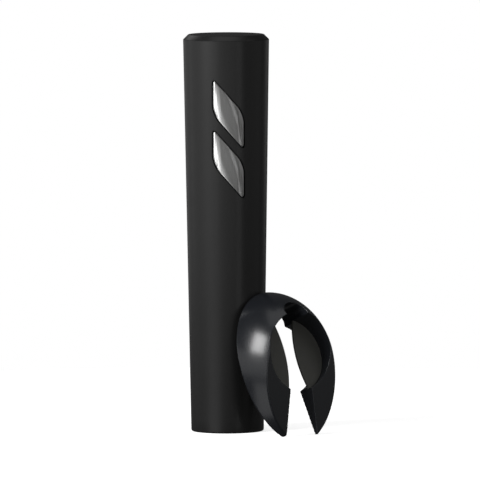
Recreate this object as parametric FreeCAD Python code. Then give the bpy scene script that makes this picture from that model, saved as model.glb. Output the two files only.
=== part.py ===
import FreeCAD, Part
import math
import os
from FreeCAD import Matrix, Vector

# Cordless electric wine opener with its foil cutter.
# Frame: origin at the centre of the bottle mouth in the base, +Z up, buttons on the -Y side.

os.makedirs("parts", exist_ok=True)

# ---------------------------------------------------------------- driving dimensions (mm)
HEIGHT = 262.3            # base to top of the cap
BASE_RADIUS = 23.95       # tapered body at the base
TOP_RADIUS = 28.35        # tapered body at its shoulder
CAP_CHAMFER = 3.4         # 45 degree chamfer round the cap
BASE_EDGE_RADIUS = 1.3
SHELL_WALL = 1.6

RUN = 0.3                 # running gap between moving curved faces
SEAT = 0.1                # gap between pieces that are slid together
SHAFT_FIT = 0.05          # radial clearance of a shaft in its bush
GLUE = 0.05               # bond line between curved pieces that are glued or clipped together
JOIN = 0.2                # how far parts of one piece run into each other before they are fused
DEEP_JOIN = 0.5
SPARE = 5.0               # how far a cutting solid reaches past the piece it shapes

NECK_RADIUS = 15.5        # bore for a bottle neck
GUIDE_WALL = 2.0
GUIDE_DEPTH = 50.0        # how far a bottle goes in
LEDGE = 2.0
LEDGE_RADIUS = 13.0
MOUTH_CHAMFER = 1.0
BASE_RECESS = 0.4         # the base ring sits this far inside the shell's edge
BASE_RING_HEIGHT = 3.6

CHASSIS_RADIUS = 21.6
CHASSIS_WALL = 1.6
WEB = 2.0
BOSS_X = 19.3             # screw bosses of the chassis halves
BOSS_RADIUS = 2.1
BOSS_REACH = 8.0
SCREW_RADIUS = 1.0
SCREW_HEAD_RADIUS = 1.8
SCREW_HEAD = 1.4
SCREW_GRIP = 3.6          # front-half material under a screw head
SCREW_BITE = 6.0          # screw length in the rear half
SCREW_SOCKET = 0.7        # share of the screw's radius taken by its drive socket
GUIDE_WEB_INSET = 12.0    # webs of the chassis, from the end of the piece that each one holds
SLEEVE_FOOT_WEB_INSET = 8.0
SLEEVE_HEAD_WEB_INSET = 12.0
GEARBOX_FOOT_WEB_INSET = 4.0
GEARBOX_HEAD_WEB_INSET = 3.0
MOTOR_FOOT_WEB_INSET = 12.0
MOTOR_HEAD_WEB_INSET = 6.0
MOTOR_RIB_INSET = 20.0    # ribs that hold the chassis central in the shell
TOP_RIB_INSET = 8.0
SLEEVE_FOOT_SCREW_INSET = 22.0
SLEEVE_HEAD_SCREW_INSET = 18.0
MOTOR_FOOT_SCREW_INSET = 6.0
MOTOR_HEAD_SCREW_INSET = 12.0

PITCH = 9.0               # pitch of the worm and of the helical groove
TURNS = 5.5
TUBE_WALL = 1.5
SLOT_WIDTH = 4.8
SLEEVE_WALL = 2.2
GROOVE_DEPTH = 1.2
GROOVE_WIDTH = 2.4
GROOVE_MOUTH = 0.8        # the groove's cutter starts this far inside the sleeve's bore
PIN_RADIUS = 1.0
PIN_FIT = 0.2             # pin ends and the carriage's lugs, from the walls they slide past
PIN_ROOT = 4.0            # a pin starts this far outside the worm's collar
CARRIAGE_HEIGHT = 8.0
CARRIAGE_PIN_INSET = 2.0
WORM_LENGTH = 55.0        # tip to the underside of the carriage
WORM_WIRE = 1.4           # wire radius
WORM_COIL = 2.9           # radius of the coil's centre line
WORM_POINT = 4.0          # length of its ground point
WORM_POINT_RADIUS = 0.15
COLLAR_RADIUS = 4.5
COLLAR_DROP = 1.5
COLLAR_DEPTH = 3.0
DISC = 2.5                # thickness of the tube's closing disc and of the output carrier
NECK_SHAFT_RADIUS = 5.0
KEY_RADIUS = 4.0
KEY_FLAT = 0.75           # distance of a keyed shaft's flats from its centre, as a share of its radius
SLOT_END_GAP = 1.5
TUBE_SHOULDER = 0.7       # tube wall between its slots and the closing disc

MODULE = 0.5              # gears
PRESSURE_ANGLE = math.radians(25)
ADDENDUM = 0.4
DEDENDUM = 0.65
BACKLASH = 0.14
SUN_TEETH = 12
PLANET_TEETH = 24
RING_TEETH = 60
PLANETS = 3
FACE_WIDTH = 5.0
RING_WALL = 2.85
CARRIER_RADIUS = 13.5
INPUT_CARRIER = 2.0
GEARBOX_FLOOR = 3.0
PLANET_PIN_RADIUS = 1.5
BUSH_WALL = 2.0
CARRIER_FLOOR_GAP = 0.5
CARRIER_GAP = 0.8         # between the output planets and the input carrier
PLATE_GAP = 0.9           # between the input planets and the motor plate
PLANET_HOLE_RADIUS = 1.1
PLANET_HOLE_CENTRE = 3.6
PLANET_HOLES = 6
GEARBOX_SCREW_RADIUS = SCREW_RADIUS * 0.9
GEARBOX_SCREW_HEAD_RADIUS = SCREW_HEAD_RADIUS * 0.75
GEARBOX_SCREW_LENGTH = 6.0

MOTOR_RADIUS = 13.85
MOTOR_LENGTH = 37.8
MOTOR_WALL = 1.0
MOTOR_FRONT = 1.2
MOTOR_BOSS = 5.0
MOTOR_PLATE = 2.5
MOTOR_SHAFT_RADIUS = 1.15
MOTOR_BUSH_RADIUS = 2.5
MAGNET_THICKNESS = 2.8
MAGNET_LENGTH = 22.0
MAGNET_ANGLE = 130.0
ARMATURE_RADIUS = 9.4
ARMATURE_LENGTH = 20.0
ARMATURE_POLES = 5
END_BELL = 3.0
MOTOR_SCREW_SPACING = 16.0
MOTOR_SCREW_TOP_GAP = 0.1
MOTOR_SCREW_HEAD = 1.2
MOTOR_NOSE_GAP = 0.4      # motor boss, from the inner face of the plate
ARMATURE_INSET = 8.0
ARMATURE_SLOT_RADIUS = 2.0
ARMATURE_SLOT_CENTRE = 6.4
ARMATURE_SLOT_MOUTH = 1.2
WINDING_RADIUS = 1.9
END_TURN_RADIUS = 8.4
END_TURN_INNER = 3.4
END_TURN_LENGTH = 2.4
COMMUTATOR_RADIUS = 2.9
COMMUTATOR_LENGTH = 3.4
COMMUTATOR_INSET = 2.8
COMMUTATOR_CORE = 1.9     # radius below the slits between its bars
COMMUTATOR_SLIT = 0.15    # half the width of a slit
BELL_SPIGOT = 1.5
BELL_SPIGOT_INNER = 9.0
TERMINAL_X = 9.5
TERMINAL_HALF_THICKNESS = 0.25
TERMINAL_HALF_WIDTH = 1.4
TERMINAL_LENGTH = 3.0
SHAFT_TAIL = 1.5

CELL_RADIUS = 7.15        # AA cell
CELL_LENGTH = 49.5
CELL_NUB = 1.0
CELL_NUB_RADIUS = 2.7
CELL_FIT = 0.35
CELL_SPACING = 15.2
SPRING_LENGTH = 4.5
SPRING_WIRE = 0.35
SPRING_COIL = 2.6
SPRING_TURNS = 3
HOLDER_FLOOR_Z = 187.0
HOLDER_FLOOR = 2.0
HOLDER_RADIUS = 19.6
CONTACT = 0.4
CONTACT_RADIUS = 5.0
CAP_COLUMN_WALL = 1.6
CAP_COLUMN_INSET = 0.6
CAP_SPIGOT = 7.0
CAP_SPIGOT_WALL = 2.6
SEAL_WIRE = 0.9

BUTTON_HALF_WIDTH = 10.0
BUTTON_HALF_HEIGHT = 22.9
BUTTON_ROUND = 17.0
BUTTON_TIP = 1.2
BUTTON_GAP = 0.9
BUTTON_PLATE = 1.2
BUTTON_BEVEL = 0.35
KEY_DEPTH = 3.0
KEY_FLANGE = 1.6
KEY_FLANGE_THICKNESS = 1.0
KEY_POST_RADIUS = 2.0
UPPER_BUTTON_Z = 210.9
LOWER_BUTTON_Z = 177.8
BUTTON_TRAVEL = 0.5
BOARD_BACK_Y = -20.0
BOARD_THICKNESS = 1.2
BOARD_HALF_WIDTH = 8.0
BOARD_MARGIN = 14.5
SWITCH_SIZE = 6.0
SWITCH_HEIGHT = 1.3
PUSHER_RADIUS = 1.5
BOARD_SCREW_X = 5.2
BOARD_SCREW_INSET = 4.0
BOARD_SCREW_HEAD = 1.0
BOARD_SCREW_RADIUS = SCREW_RADIUS * 0.8
BOARD_SCREW_BITE = 0.6
FLANGE_GAP = 0.25         # between a key's flange and the shell
CHIP_HALF_WIDTH = 2.5
CHIP_HEIGHT = 1.4
TRANSISTOR_HEIGHT = 1.2   # transistors and capacitor
TRANSISTOR_X = (3.8, 6.5)
TRANSISTOR_Z = (4, 7)     # above the middle of the board
CAPACITOR_RADIUS = 1.5
CAPACITOR_DROP = 6.0      # below the middle of the board

CUTTER_HALF_WIDTH = 36.0  # foil cutter, in its own axes: U across, V up its arms, N out of its front
CUTTER_CROWN = 49.0       # widest place up to the crown
CUTTER_ARM = 55.0         # lower quarter-ellipse
CUTTER_TIP_CUT = 5.0      # the tips end this far short of the lower ellipse's end
CUTTER_DOME = 50.0        # depth of the dome from its own centre
CUTTER_SINK = 14.0        # the dome's centre lies this far behind the flat back
CREASE_RADIUS = 3.0
FACET_START = 3.0         # thickness at the tips
FACET_SLOPE = 0.36
RECESS_RADIUS = 25.0
RECESS_V = 52.3
CHANNEL_HALF = 8.8
CHANNEL_TOP_V = 85.0      # top of the channel's round end
THROAT_V = 28.5
THROAT_TIP_HALF = 12.8
STOP_FRONT_N = 10.5
STOP_THICKNESS = 1.5
STOP_LEDGE = 1.2          # shoulder that each stop plate rests on
STOP_HALF_GAP = 4.5
WHEEL_RADIUS = 4.0
WHEEL_THICKNESS = 0.6
WHEEL_N = 5.0
WHEEL_CENTRE = 19.3       # distance of a wheel's axle from the neck's centre
AXLE_RADIUS = 1.0
AXLE_HEAD_RADIUS = 1.9
AXLE_HEAD = 0.7
AXLE_GRIP = 0.9           # depth of an axle in its plate
WHEEL_BOSS_RADIUS = 2.2
WHEEL_GRIND = 1.0         # width of the bevel ground on a wheel's rim
WHEEL_EDGE = 0.05         # half the thickness left at the rim
CUTTER_YAW = math.radians(35)
CUTTER_LEAN = math.radians(21)
CUTTER_SIDE = 45.3        # tips' middle to the right of the tube's axis
CUTTER_STANDOFF = 0.4     # gap between the leaning crown and the tube
STANDOFF_ROWS = 200       # places up and across the flat back where that gap is measured
STANDOFF_STEPS = 20

# ---------------------------------------------------------------- heights that follow (mm)
SHOULDER_Z = HEIGHT - CAP_CHAMFER
BASE_RING_TOP = BASE_RECESS + BASE_RING_HEIGHT
GUIDE_TOP = GUIDE_DEPTH + LEDGE
GUIDE_RADIUS = NECK_RADIUS + GUIDE_WALL

TUBE_INNER = LEDGE_RADIUS
TUBE_RADIUS = TUBE_INNER + TUBE_WALL
SLEEVE_INNER = TUBE_RADIUS + RUN
SLEEVE_RADIUS = SLEEVE_INNER + SLEEVE_WALL
GROOVE_RADIUS = SLEEVE_INNER + GROOVE_DEPTH
TRAVEL = PITCH * TURNS

SLEEVE_BOTTOM = GUIDE_TOP + 1.0
WORM_TIP_Z = SLEEVE_BOTTOM
CARRIAGE_BOTTOM = WORM_TIP_Z + WORM_LENGTH
CARRIAGE_TOP = CARRIAGE_BOTTOM + CARRIAGE_HEIGHT
LOWER_PIN_Z = CARRIAGE_BOTTOM + CARRIAGE_PIN_INSET
UPPER_PIN_Z = LOWER_PIN_Z + PITCH / 2
TUBE_BOTTOM = SLEEVE_BOTTOM + RUN
SLOT_BOTTOM = CARRIAGE_BOTTOM - TRAVEL - 1.0
SLOT_TOP = CARRIAGE_TOP + SLOT_END_GAP
TUBE_TOP = SLOT_TOP + TUBE_SHOULDER + DISC
SLEEVE_TOP = TUBE_TOP + RUN

GEARBOX_BOTTOM = SLEEVE_TOP + RUN
GEARBOX_INSIDE = GEARBOX_BOTTOM + GEARBOX_FLOOR
CARRIER_2_Z = GEARBOX_INSIDE + CARRIER_FLOOR_GAP
PLANETS_2_Z = CARRIER_2_Z + DISC + RUN
CARRIER_1_Z = PLANETS_2_Z + FACE_WIDTH + CARRIER_GAP
PLANETS_1_Z = CARRIER_1_Z + INPUT_CARRIER + RUN
MOTOR_PLATE_Z = PLANETS_1_Z + FACE_WIDTH + PLATE_GAP
MOTOR_Z = MOTOR_PLATE_Z + MOTOR_PLATE
MOTOR_TOP = MOTOR_Z + MOTOR_LENGTH
ARMATURE_Z = MOTOR_Z + ARMATURE_INSET
CENTRE_DISTANCE = MODULE * (SUN_TEETH + PLANET_TEETH) / 2
RING_ROOT = MODULE * RING_TEETH / 2 + DEDENDUM
GEARBOX_RADIUS = RING_ROOT + RING_WALL

CONTACT_Z = HOLDER_FLOOR_Z + HOLDER_FLOOR
CELL_LOW_Z = CONTACT_Z + CONTACT
CELL_HIGH_Z = CELL_LOW_Z + SPRING_LENGTH
CELL_TOP = CELL_HIGH_Z + CELL_LENGTH + CELL_NUB
UPPER_CONTACT_Z = CELL_TOP + RUN
CAP_FLOOR_Z = UPPER_CONTACT_Z + CONTACT
CHASSIS_TOP = CELL_TOP

BOARD_FRONT_Y = BOARD_BACK_Y - BOARD_THICKNESS
SWITCH_FRONT_Y = BOARD_FRONT_Y - SWITCH_HEIGHT

CUTTER_WIDE_V = CUTTER_ARM - CUTTER_TIP_CUT


# ---------------------------------------------------------------- helpers
def body_radius(z):
    """Outer radius of the tapered body at a height."""
    return BASE_RADIUS + (TOP_RADIUS - BASE_RADIUS) * z / SHOULDER_Z


def inner_radius(z):
    return body_radius(z) - SHELL_WALL


def save(name, shape):
    shape.exportStep("parts/%s.step" % name)


def cylinder(radius, z0, z1, x=0.0, y=0.0):
    return Part.makeCylinder(radius, z1 - z0, Vector(x, y, z0))


def rod(radius, y0, y1, x, z):
    """Cylinder along Y."""
    return Part.makeCylinder(radius, y1 - y0, Vector(x, y0, z), Vector(0, 1, 0))


def tube(outer, inner, z0, z1, x=0.0, y=0.0):
    return cylinder(outer, z0, z1, x, y).cut(cylinder(inner, z0 - 1, z1 + 1, x, y))


def block(x0, x1, y0, y1, z0, z1):
    return Part.makeBox(x1 - x0, y1 - y0, z1 - z0, Vector(x0, y0, z0))


def revolve(outline):
    """Solid of revolution about Z from (radius, z) points."""
    points = [Vector(radius, 0, z) for radius, z in outline]
    face = Part.Face(Part.makePolygon(points + points[:1]))
    return face.revolve(Vector(0, 0, 0), Vector(0, 0, 1), 360)


def tapered(offset, z0, z1):
    """Cone that follows the body, moved in or out by an offset."""
    return revolve([(0, z0), (body_radius(z0) + offset, z0), (body_radius(z1) + offset, z1), (0, z1)])


def polar(radius, degrees, z=0.0):
    angle = math.radians(degrees)
    return Vector(radius * math.cos(angle), radius * math.sin(angle), z)


def turned(shape, degrees):
    copy = shape.copy()
    copy.rotate(Vector(0, 0, 0), Vector(0, 0, 1), degrees)
    return copy


def around(shape, count, start=0.0):
    return [turned(shape, start + 360.0 * i / count) for i in range(count)]


def moved(shape, x, y, z):
    copy = shape.copy()
    copy.translate(Vector(x, y, z))
    return copy


def fused(shapes):
    return shapes[0].fuse(shapes[1:]).removeSplitter()


def offset_corners(corners, distance):
    """Corners of a convex clockwise polygon with each side moved outwards."""
    moved_corners = []
    count = len(corners)
    for i in range(count):
        before, here, after = corners[i - 1], corners[i], corners[(i + 1) % count]
        first = (here - before).normalize()
        second = (after - here).normalize()
        normal_1 = Vector(-first.y, first.x, 0)
        normal_2 = Vector(-second.y, second.x, 0)
        bisector = normal_1 + normal_2
        moved_corners.append(here + bisector * (distance / (1 + normal_1.dot(normal_2))))
    return moved_corners


def rounded_wire(corners, radii):
    """Closed wire through corners, each rounded by its own radius."""
    edges = []
    ends = []
    for i, corner in enumerate(corners):
        to_before = (corners[i - 1] - corner).normalize()
        to_after = (corners[(i + 1) % len(corners)] - corner).normalize()
        half_angle = to_before.getAngle(to_after) / 2
        tangent = radii[i] / math.tan(half_angle)
        bisector = (to_before + to_after).normalize()
        middle = corner + bisector * (radii[i] / math.sin(half_angle) - radii[i])
        ends.append((corner + to_before * tangent, middle, corner + to_after * tangent))
    for i, (start, middle, end) in enumerate(ends):
        edges.append(Part.Arc(start, middle, end).toShape())
        edges.append(Part.makeLine(end, ends[(i + 1) % len(ends)][0]))
    return Part.Wire(edges)


def leaf_prism(z, offset):
    """Button outline at a height, grown by an offset, as a prism along Y through the front wall."""
    corners = [
        Vector(-BUTTON_HALF_WIDTH, BUTTON_HALF_HEIGHT, 0),
        Vector(BUTTON_HALF_WIDTH, 0, 0),
        Vector(BUTTON_HALF_WIDTH, -BUTTON_HALF_HEIGHT, 0),
        Vector(-BUTTON_HALF_WIDTH, 0, 0),
    ]
    corners = offset_corners(corners, offset)
    radii = [BUTTON_TIP + max(offset, 0), BUTTON_ROUND + offset] * 2
    face = Part.Face(rounded_wire(corners, radii))
    prism = face.extrude(Vector(0, 0, TOP_RADIUS))
    prism.rotate(Vector(0, 0, 0), Vector(1, 0, 0), 90)
    prism.translate(Vector(0, 0, z))
    return prism.common(block(-TOP_RADIUS, TOP_RADIUS, -TOP_RADIUS - 1, BOARD_BACK_Y, 0, HEIGHT))


def involute(angle):
    return math.tan(angle) - angle


def gear_face(teeth, root, tip, slack):
    """Spur gear outline; slack widens each tooth at the pitch circle."""
    pitch = MODULE * teeth / 2
    base = pitch * math.cos(PRESSURE_ANGLE)
    half = (math.pi * MODULE / 2 + slack) / (2 * pitch) + involute(PRESSURE_ANGLE)
    start = max(root, base)

    def flank(radius, centre, side):
        spread = half - involute(math.acos(min(1.0, base / radius)))
        return polar(radius, math.degrees(centre + side * spread))

    edges = []
    step = 2 * math.pi / teeth
    for i in range(teeth):
        centre = i * step
        middle = (start + tip) / 2
        rise = [flank(radius, centre, -1) for radius in (start, middle, tip)]
        fall = [flank(radius, centre, 1) for radius in (tip, middle, start)]
        next_rise = flank(start, centre + step, -1)
        root_out = fall[2]
        root_in = next_rise
        if root < start:
            foot = rise[0] * (root / start)
            edges.append(Part.makeLine(foot, rise[0]))
            root_out = fall[2] * (root / start)
            root_in = next_rise * (root / start)
        edges.append(Part.Arc(*rise).toShape())
        edges.append(Part.Arc(rise[2], polar(tip, math.degrees(centre)), fall[0]).toShape())
        edges.append(Part.Arc(*fall).toShape())
        if root < start:
            edges.append(Part.makeLine(fall[2], root_out))
        bottom = polar(root, math.degrees(centre + step / 2))
        edges.append(Part.Arc(root_out, bottom, root_in).toShape())
    return Part.Face(Part.Wire(edges))


def gear(teeth, z0, z1, bore=0.0):
    pitch = MODULE * teeth / 2
    face = gear_face(teeth, pitch - DEDENDUM, pitch + ADDENDUM, -BACKLASH / 2)
    solid = face.extrude(Vector(0, 0, z1 - z0))
    solid.translate(Vector(0, 0, z0))
    if bore:
        solid = solid.cut(cylinder(bore, z0 - 1, z1 + 1))
    return solid


def helix_sweep(profile, pitch, height, radius):
    path = Part.makeHelix(pitch, height, radius)
    return Part.Wire(path).makePipeShell([profile], True, True)


def helix_tangent(pitch, radius):
    """Direction of a right-hand helix where it crosses +X."""
    return Vector(0, 1, pitch / (2 * math.pi * radius)).normalize()


def wire_coil(wire, pitch, height, radius):
    """Round wire wound into a helix that starts on +X at height zero."""
    circle = Part.makeCircle(wire, Vector(radius, 0, 0), helix_tangent(pitch, radius))
    return helix_sweep(Part.Wire(circle), pitch, height, radius)


def coil_spring(x, y, z0, z1):
    """Contact spring between two heights."""
    height = z1 - z0 - 2 * SPRING_WIRE
    return moved(wire_coil(SPRING_WIRE, height / SPRING_TURNS, height, SPRING_COIL), x, y, z0 + SPRING_WIRE)


# ---------------------------------------------------------------- casing
def outer_shell():
    shell = tapered(0, 0, SHOULDER_Z).cut(tapered(-SHELL_WALL, -1, SHOULDER_Z + 1))
    edges = [e for e in shell.Edges if e.BoundBox.ZMax < 0.01 and e.BoundBox.XMax > BASE_RADIUS - 0.1]
    shell = shell.makeFillet(BASE_EDGE_RADIUS, edges)
    for z in (UPPER_BUTTON_Z, LOWER_BUTTON_Z):
        shell = shell.cut(leaf_prism(z, BUTTON_GAP))
    return shell


def base_ring():
    top, bottom = BASE_RING_TOP, BASE_RECESS
    return revolve([
        (NECK_RADIUS + MOUTH_CHAMFER, bottom),
        (inner_radius(bottom) - SEAT, bottom),
        (inner_radius(bottom) - SEAT, top),
        (NECK_RADIUS, top),
        (NECK_RADIUS, bottom + MOUTH_CHAMFER),
    ])


def bottle_guide():
    return revolve([
        (NECK_RADIUS, BASE_RING_TOP),
        (GUIDE_RADIUS, BASE_RING_TOP),
        (GUIDE_RADIUS, GUIDE_TOP),
        (LEDGE_RADIUS, GUIDE_TOP),
        (LEDGE_RADIUS, GUIDE_DEPTH),
        (NECK_RADIUS, GUIDE_DEPTH),
    ])


def chassis():
    """Whole inner frame, before it is split into its halves."""
    inner = CHASSIS_RADIUS - CHASSIS_WALL
    frame = tube(CHASSIS_RADIUS, inner, BASE_RING_TOP, CHASSIS_TOP)
    webs = [
        (GUIDE_RADIUS, BASE_RING_TOP + GUIDE_WEB_INSET),
        (GUIDE_RADIUS, GUIDE_TOP - GUIDE_WEB_INSET),
        (SLEEVE_RADIUS, SLEEVE_BOTTOM + SLEEVE_FOOT_WEB_INSET),
        (SLEEVE_RADIUS, SLEEVE_TOP - SLEEVE_HEAD_WEB_INSET),
        (GEARBOX_RADIUS, GEARBOX_BOTTOM + GEARBOX_FOOT_WEB_INSET),
        (GEARBOX_RADIUS, MOTOR_PLATE_Z - GEARBOX_HEAD_WEB_INSET),
        (MOTOR_RADIUS, MOTOR_Z + MOTOR_FOOT_WEB_INSET),
        (MOTOR_RADIUS, MOTOR_TOP - MOTOR_HEAD_WEB_INSET),
    ]
    pieces = [frame]
    for radius, z in webs:
        pieces.append(tube(inner + DEEP_JOIN, radius + SEAT, z, z + WEB))
    pieces.append(tube(inner + DEEP_JOIN, MOTOR_RADIUS, HOLDER_FLOOR_Z - WEB, HOLDER_FLOOR_Z))
    for z in (MOTOR_Z + MOTOR_RIB_INSET, CHASSIS_TOP - TOP_RIB_INSET):
        reach = inner_radius(z) - SEAT
        pieces.append(tube(reach, CHASSIS_RADIUS - DEEP_JOIN, z, z + WEB))
    for x, z in screw_places():
        pieces.append(rod(BOSS_RADIUS, -BOSS_REACH, BOSS_REACH, x, z))
    frame = fused(pieces)
    flat = block(-TOP_RADIUS, TOP_RADIUS, -TOP_RADIUS, BOARD_BACK_Y,
                 LOWER_BUTTON_Z - BOARD_MARGIN - 1, CHASSIS_TOP + 1)
    return frame.cut(flat)


def screw_places():
    heights = (SLEEVE_BOTTOM + SLEEVE_FOOT_SCREW_INSET, SLEEVE_TOP - SLEEVE_HEAD_SCREW_INSET,
               MOTOR_Z + MOTOR_FOOT_SCREW_INSET, MOTOR_TOP - MOTOR_HEAD_SCREW_INSET)
    return [(side * BOSS_X, z) for z in heights for side in (-1, 1)]


def chassis_half(frame, front):
    reach = TOP_RADIUS + 1
    y0, y1 = (-reach, 0) if front else (0, reach)
    half = frame.common(block(-reach, reach, y0, y1, 0, HEIGHT))
    for x, z in screw_places():
        if front:
            half = half.cut(rod(SCREW_RADIUS + SEAT, -SCREW_GRIP - 1, 1, x, z))
            half = half.cut(rod(SCREW_HEAD_RADIUS + SEAT, -BOSS_REACH - SPARE, -SCREW_GRIP, x, z))
        else:
            half = half.cut(rod(SCREW_RADIUS, -1, SCREW_BITE, x, z))
    return half


def chassis_screws():
    screws = []
    for x, z in screw_places():
        head = rod(SCREW_HEAD_RADIUS, -SCREW_GRIP - SCREW_HEAD, -SCREW_GRIP, x, z)
        socket = rod(SCREW_RADIUS * SCREW_SOCKET, -SCREW_GRIP - SCREW_HEAD - 1,
                     -SCREW_GRIP - SCREW_HEAD / 2, x, z)
        shank = rod(SCREW_RADIUS, -SCREW_GRIP, SCREW_BITE - 0.5, x, z)
        screws.append(head.cut(socket).fuse(shank))
    return Part.makeCompound(screws)


# ---------------------------------------------------------------- worm drive
def helix_sleeve():
    """Fixed sleeve whose inner groove drives the carriage up and down."""
    sleeve = tube(SLEEVE_RADIUS, SLEEVE_INNER, SLEEVE_BOTTOM, SLEEVE_TOP)
    low = LOWER_PIN_Z - TRAVEL - PITCH / 6
    high = UPPER_PIN_Z + PITCH / 6
    half = GROOVE_WIDTH / 2
    inside = SLEEVE_INNER - GROOVE_MOUTH
    profile = Part.makePolygon([
        Vector(inside, 0, -half), Vector(GROOVE_RADIUS, 0, -half),
        Vector(GROOVE_RADIUS, 0, half), Vector(inside, 0, half), Vector(inside, 0, -half),
    ])
    groove = helix_sweep(profile, PITCH, high - low, SLEEVE_INNER)
    groove.translate(Vector(0, 0, low))
    groove = turned(groove, 360 * (low - LOWER_PIN_Z) / PITCH)
    return sleeve.cut(groove)


def drive_tube():
    tube_wall = tube(TUBE_RADIUS, TUBE_INNER, TUBE_BOTTOM, TUBE_TOP)
    disc = cylinder(TUBE_INNER + 0.5, TUBE_TOP - DISC, TUBE_TOP)
    neck = cylinder(NECK_SHAFT_RADIUS, TUBE_TOP - 0.5, CARRIER_2_Z)
    key = keyed_stub(KEY_RADIUS, CARRIER_2_Z - 0.5, CARRIER_2_Z + DISC)
    body = fused([tube_wall, disc, neck, key])
    half = SLOT_WIDTH / 2
    slots = block(-TUBE_RADIUS - 1, TUBE_RADIUS + 1, -half, half, SLOT_BOTTOM, SLOT_TOP)
    return body.cut(slots)


def keyed_stub(radius, z0, z1):
    """Shaft end with two flats."""
    flat = radius * KEY_FLAT
    return cylinder(radius, z0, z1).common(block(-radius, radius, -flat, flat, z0, z1))


def carriage():
    hub = cylinder(TUBE_INNER - RUN, CARRIAGE_BOTTOM, CARRIAGE_TOP)
    half = SLOT_WIDTH / 2 - PIN_FIT
    lugs = block(-TUBE_RADIUS, TUBE_RADIUS, -half, half, CARRIAGE_BOTTOM, CARRIAGE_TOP)
    lugs = lugs.common(cylinder(TUBE_RADIUS - PIN_FIT, CARRIAGE_BOTTOM, CARRIAGE_TOP))
    body = fused([hub, lugs])
    body = body.cut(cylinder(COLLAR_RADIUS + GLUE, CARRIAGE_BOTTOM - 1, CARRIAGE_BOTTOM + COLLAR_DEPTH))
    for pin in follower_pins():
        body = body.cut(pin)
    return body


def follower_pins():
    depth = GROOVE_RADIUS - PIN_FIT - COLLAR_RADIUS - PIN_ROOT
    root = COLLAR_RADIUS + PIN_ROOT
    lower = Part.makeCylinder(PIN_RADIUS, depth, Vector(root, 0, LOWER_PIN_Z), Vector(1, 0, 0))
    upper = Part.makeCylinder(PIN_RADIUS, depth, Vector(-root, 0, UPPER_PIN_Z), Vector(-1, 0, 0))
    return [lower, upper]


def worm():
    """Open wire coil with a pointed tip, held by a collar in the carriage."""
    tangent = helix_tangent(PITCH, WORM_COIL)
    bottom = WORM_TIP_Z + WORM_POINT * tangent.z
    height = CARRIAGE_BOTTOM - COLLAR_DROP / 2 - bottom
    coil = wire_coil(WORM_WIRE, PITCH, height, WORM_COIL)
    point = Part.makeCone(WORM_WIRE, WORM_POINT_RADIUS, WORM_POINT, Vector(WORM_COIL, 0, 0), tangent * -1)
    coil = moved(fused([coil, point]), 0, 0, bottom)
    collar = cylinder(COLLAR_RADIUS, CARRIAGE_BOTTOM - COLLAR_DROP, CARRIAGE_BOTTOM + COLLAR_DEPTH)
    return fused([coil, collar])


# ---------------------------------------------------------------- gearbox
def gearbox_housing():
    floor = cylinder(GEARBOX_RADIUS, GEARBOX_BOTTOM, GEARBOX_INSIDE)
    floor = floor.cut(cylinder(bush_radius(), GEARBOX_BOTTOM - 1, GEARBOX_INSIDE + 1))
    pitch = MODULE * RING_TEETH / 2
    face = gear_face(RING_TEETH, pitch - ADDENDUM, RING_ROOT, BACKLASH / 2)
    teeth = face.extrude(Vector(0, 0, MOTOR_PLATE_Z - PLANETS_2_Z + 2))
    teeth.translate(Vector(0, 0, PLANETS_2_Z - 1))
    ring = cylinder(GEARBOX_RADIUS, GEARBOX_INSIDE, MOTOR_PLATE_Z)
    ring = ring.cut(cylinder(pitch - ADDENDUM, GEARBOX_INSIDE - 1, PLANETS_2_Z)).cut(teeth)
    for screw in gearbox_screws():
        ring = ring.cut(screw)
    return fused([floor, ring])


def bush_radius():
    return NECK_SHAFT_RADIUS + SHAFT_FIT + BUSH_WALL


def gearbox_screws():
    radius = (RING_ROOT + GEARBOX_RADIUS) / 2
    screws = []
    for i in range(PLANETS):
        place = polar(radius, 90 + i * 360 / PLANETS)
        foot = MOTOR_PLATE_Z - GEARBOX_SCREW_LENGTH
        shank = cylinder(GEARBOX_SCREW_RADIUS, foot, MOTOR_Z, place.x, place.y)
        head = cylinder(GEARBOX_SCREW_HEAD_RADIUS, MOTOR_Z - 1, MOTOR_Z, place.x, place.y)
        screws.append(shank.fuse(head))
    return screws


def motor_screws():
    screws = []
    for side in (-1, 1):
        x = side * MOTOR_SCREW_SPACING / 2
        shank = cylinder(SCREW_RADIUS, MOTOR_PLATE_Z + MOTOR_SCREW_TOP_GAP, MOTOR_Z + MOTOR_FRONT, x)
        head = cylinder(SCREW_HEAD_RADIUS, MOTOR_PLATE_Z + MOTOR_SCREW_TOP_GAP,
                        MOTOR_PLATE_Z + MOTOR_SCREW_HEAD, x)
        screws.append(head.fuse(shank))
    return screws


def motor_plate():
    plate = cylinder(GEARBOX_RADIUS, MOTOR_PLATE_Z, MOTOR_Z)
    plate = plate.cut(cylinder(MOTOR_BOSS + SEAT, MOTOR_PLATE_Z - 1, MOTOR_Z + 1))
    for screw in gearbox_screws():
        plate = plate.cut(screw)
    for side in (-1, 1):
        x = side * MOTOR_SCREW_SPACING / 2
        plate = plate.cut(cylinder(SCREW_RADIUS + SEAT, MOTOR_PLATE_Z - 1, MOTOR_Z + 1, x))
        plate = plate.cut(cylinder(SCREW_HEAD_RADIUS + SEAT, MOTOR_PLATE_Z - 1,
                                   MOTOR_PLATE_Z + MOTOR_SCREW_HEAD, x))
    return plate


def output_bush():
    hole = NECK_SHAFT_RADIUS + SHAFT_FIT
    return tube(bush_radius(), hole, GEARBOX_BOTTOM, GEARBOX_INSIDE)


def carrier(z, thickness):
    plate = cylinder(CARRIER_RADIUS, z, z + thickness)
    pins = [cylinder(PLANET_PIN_RADIUS, z - 1, z + thickness + 1, CENTRE_DISTANCE)]
    for hole in around(pins[0], PLANETS):
        plate = plate.cut(hole)
    return plate


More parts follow.
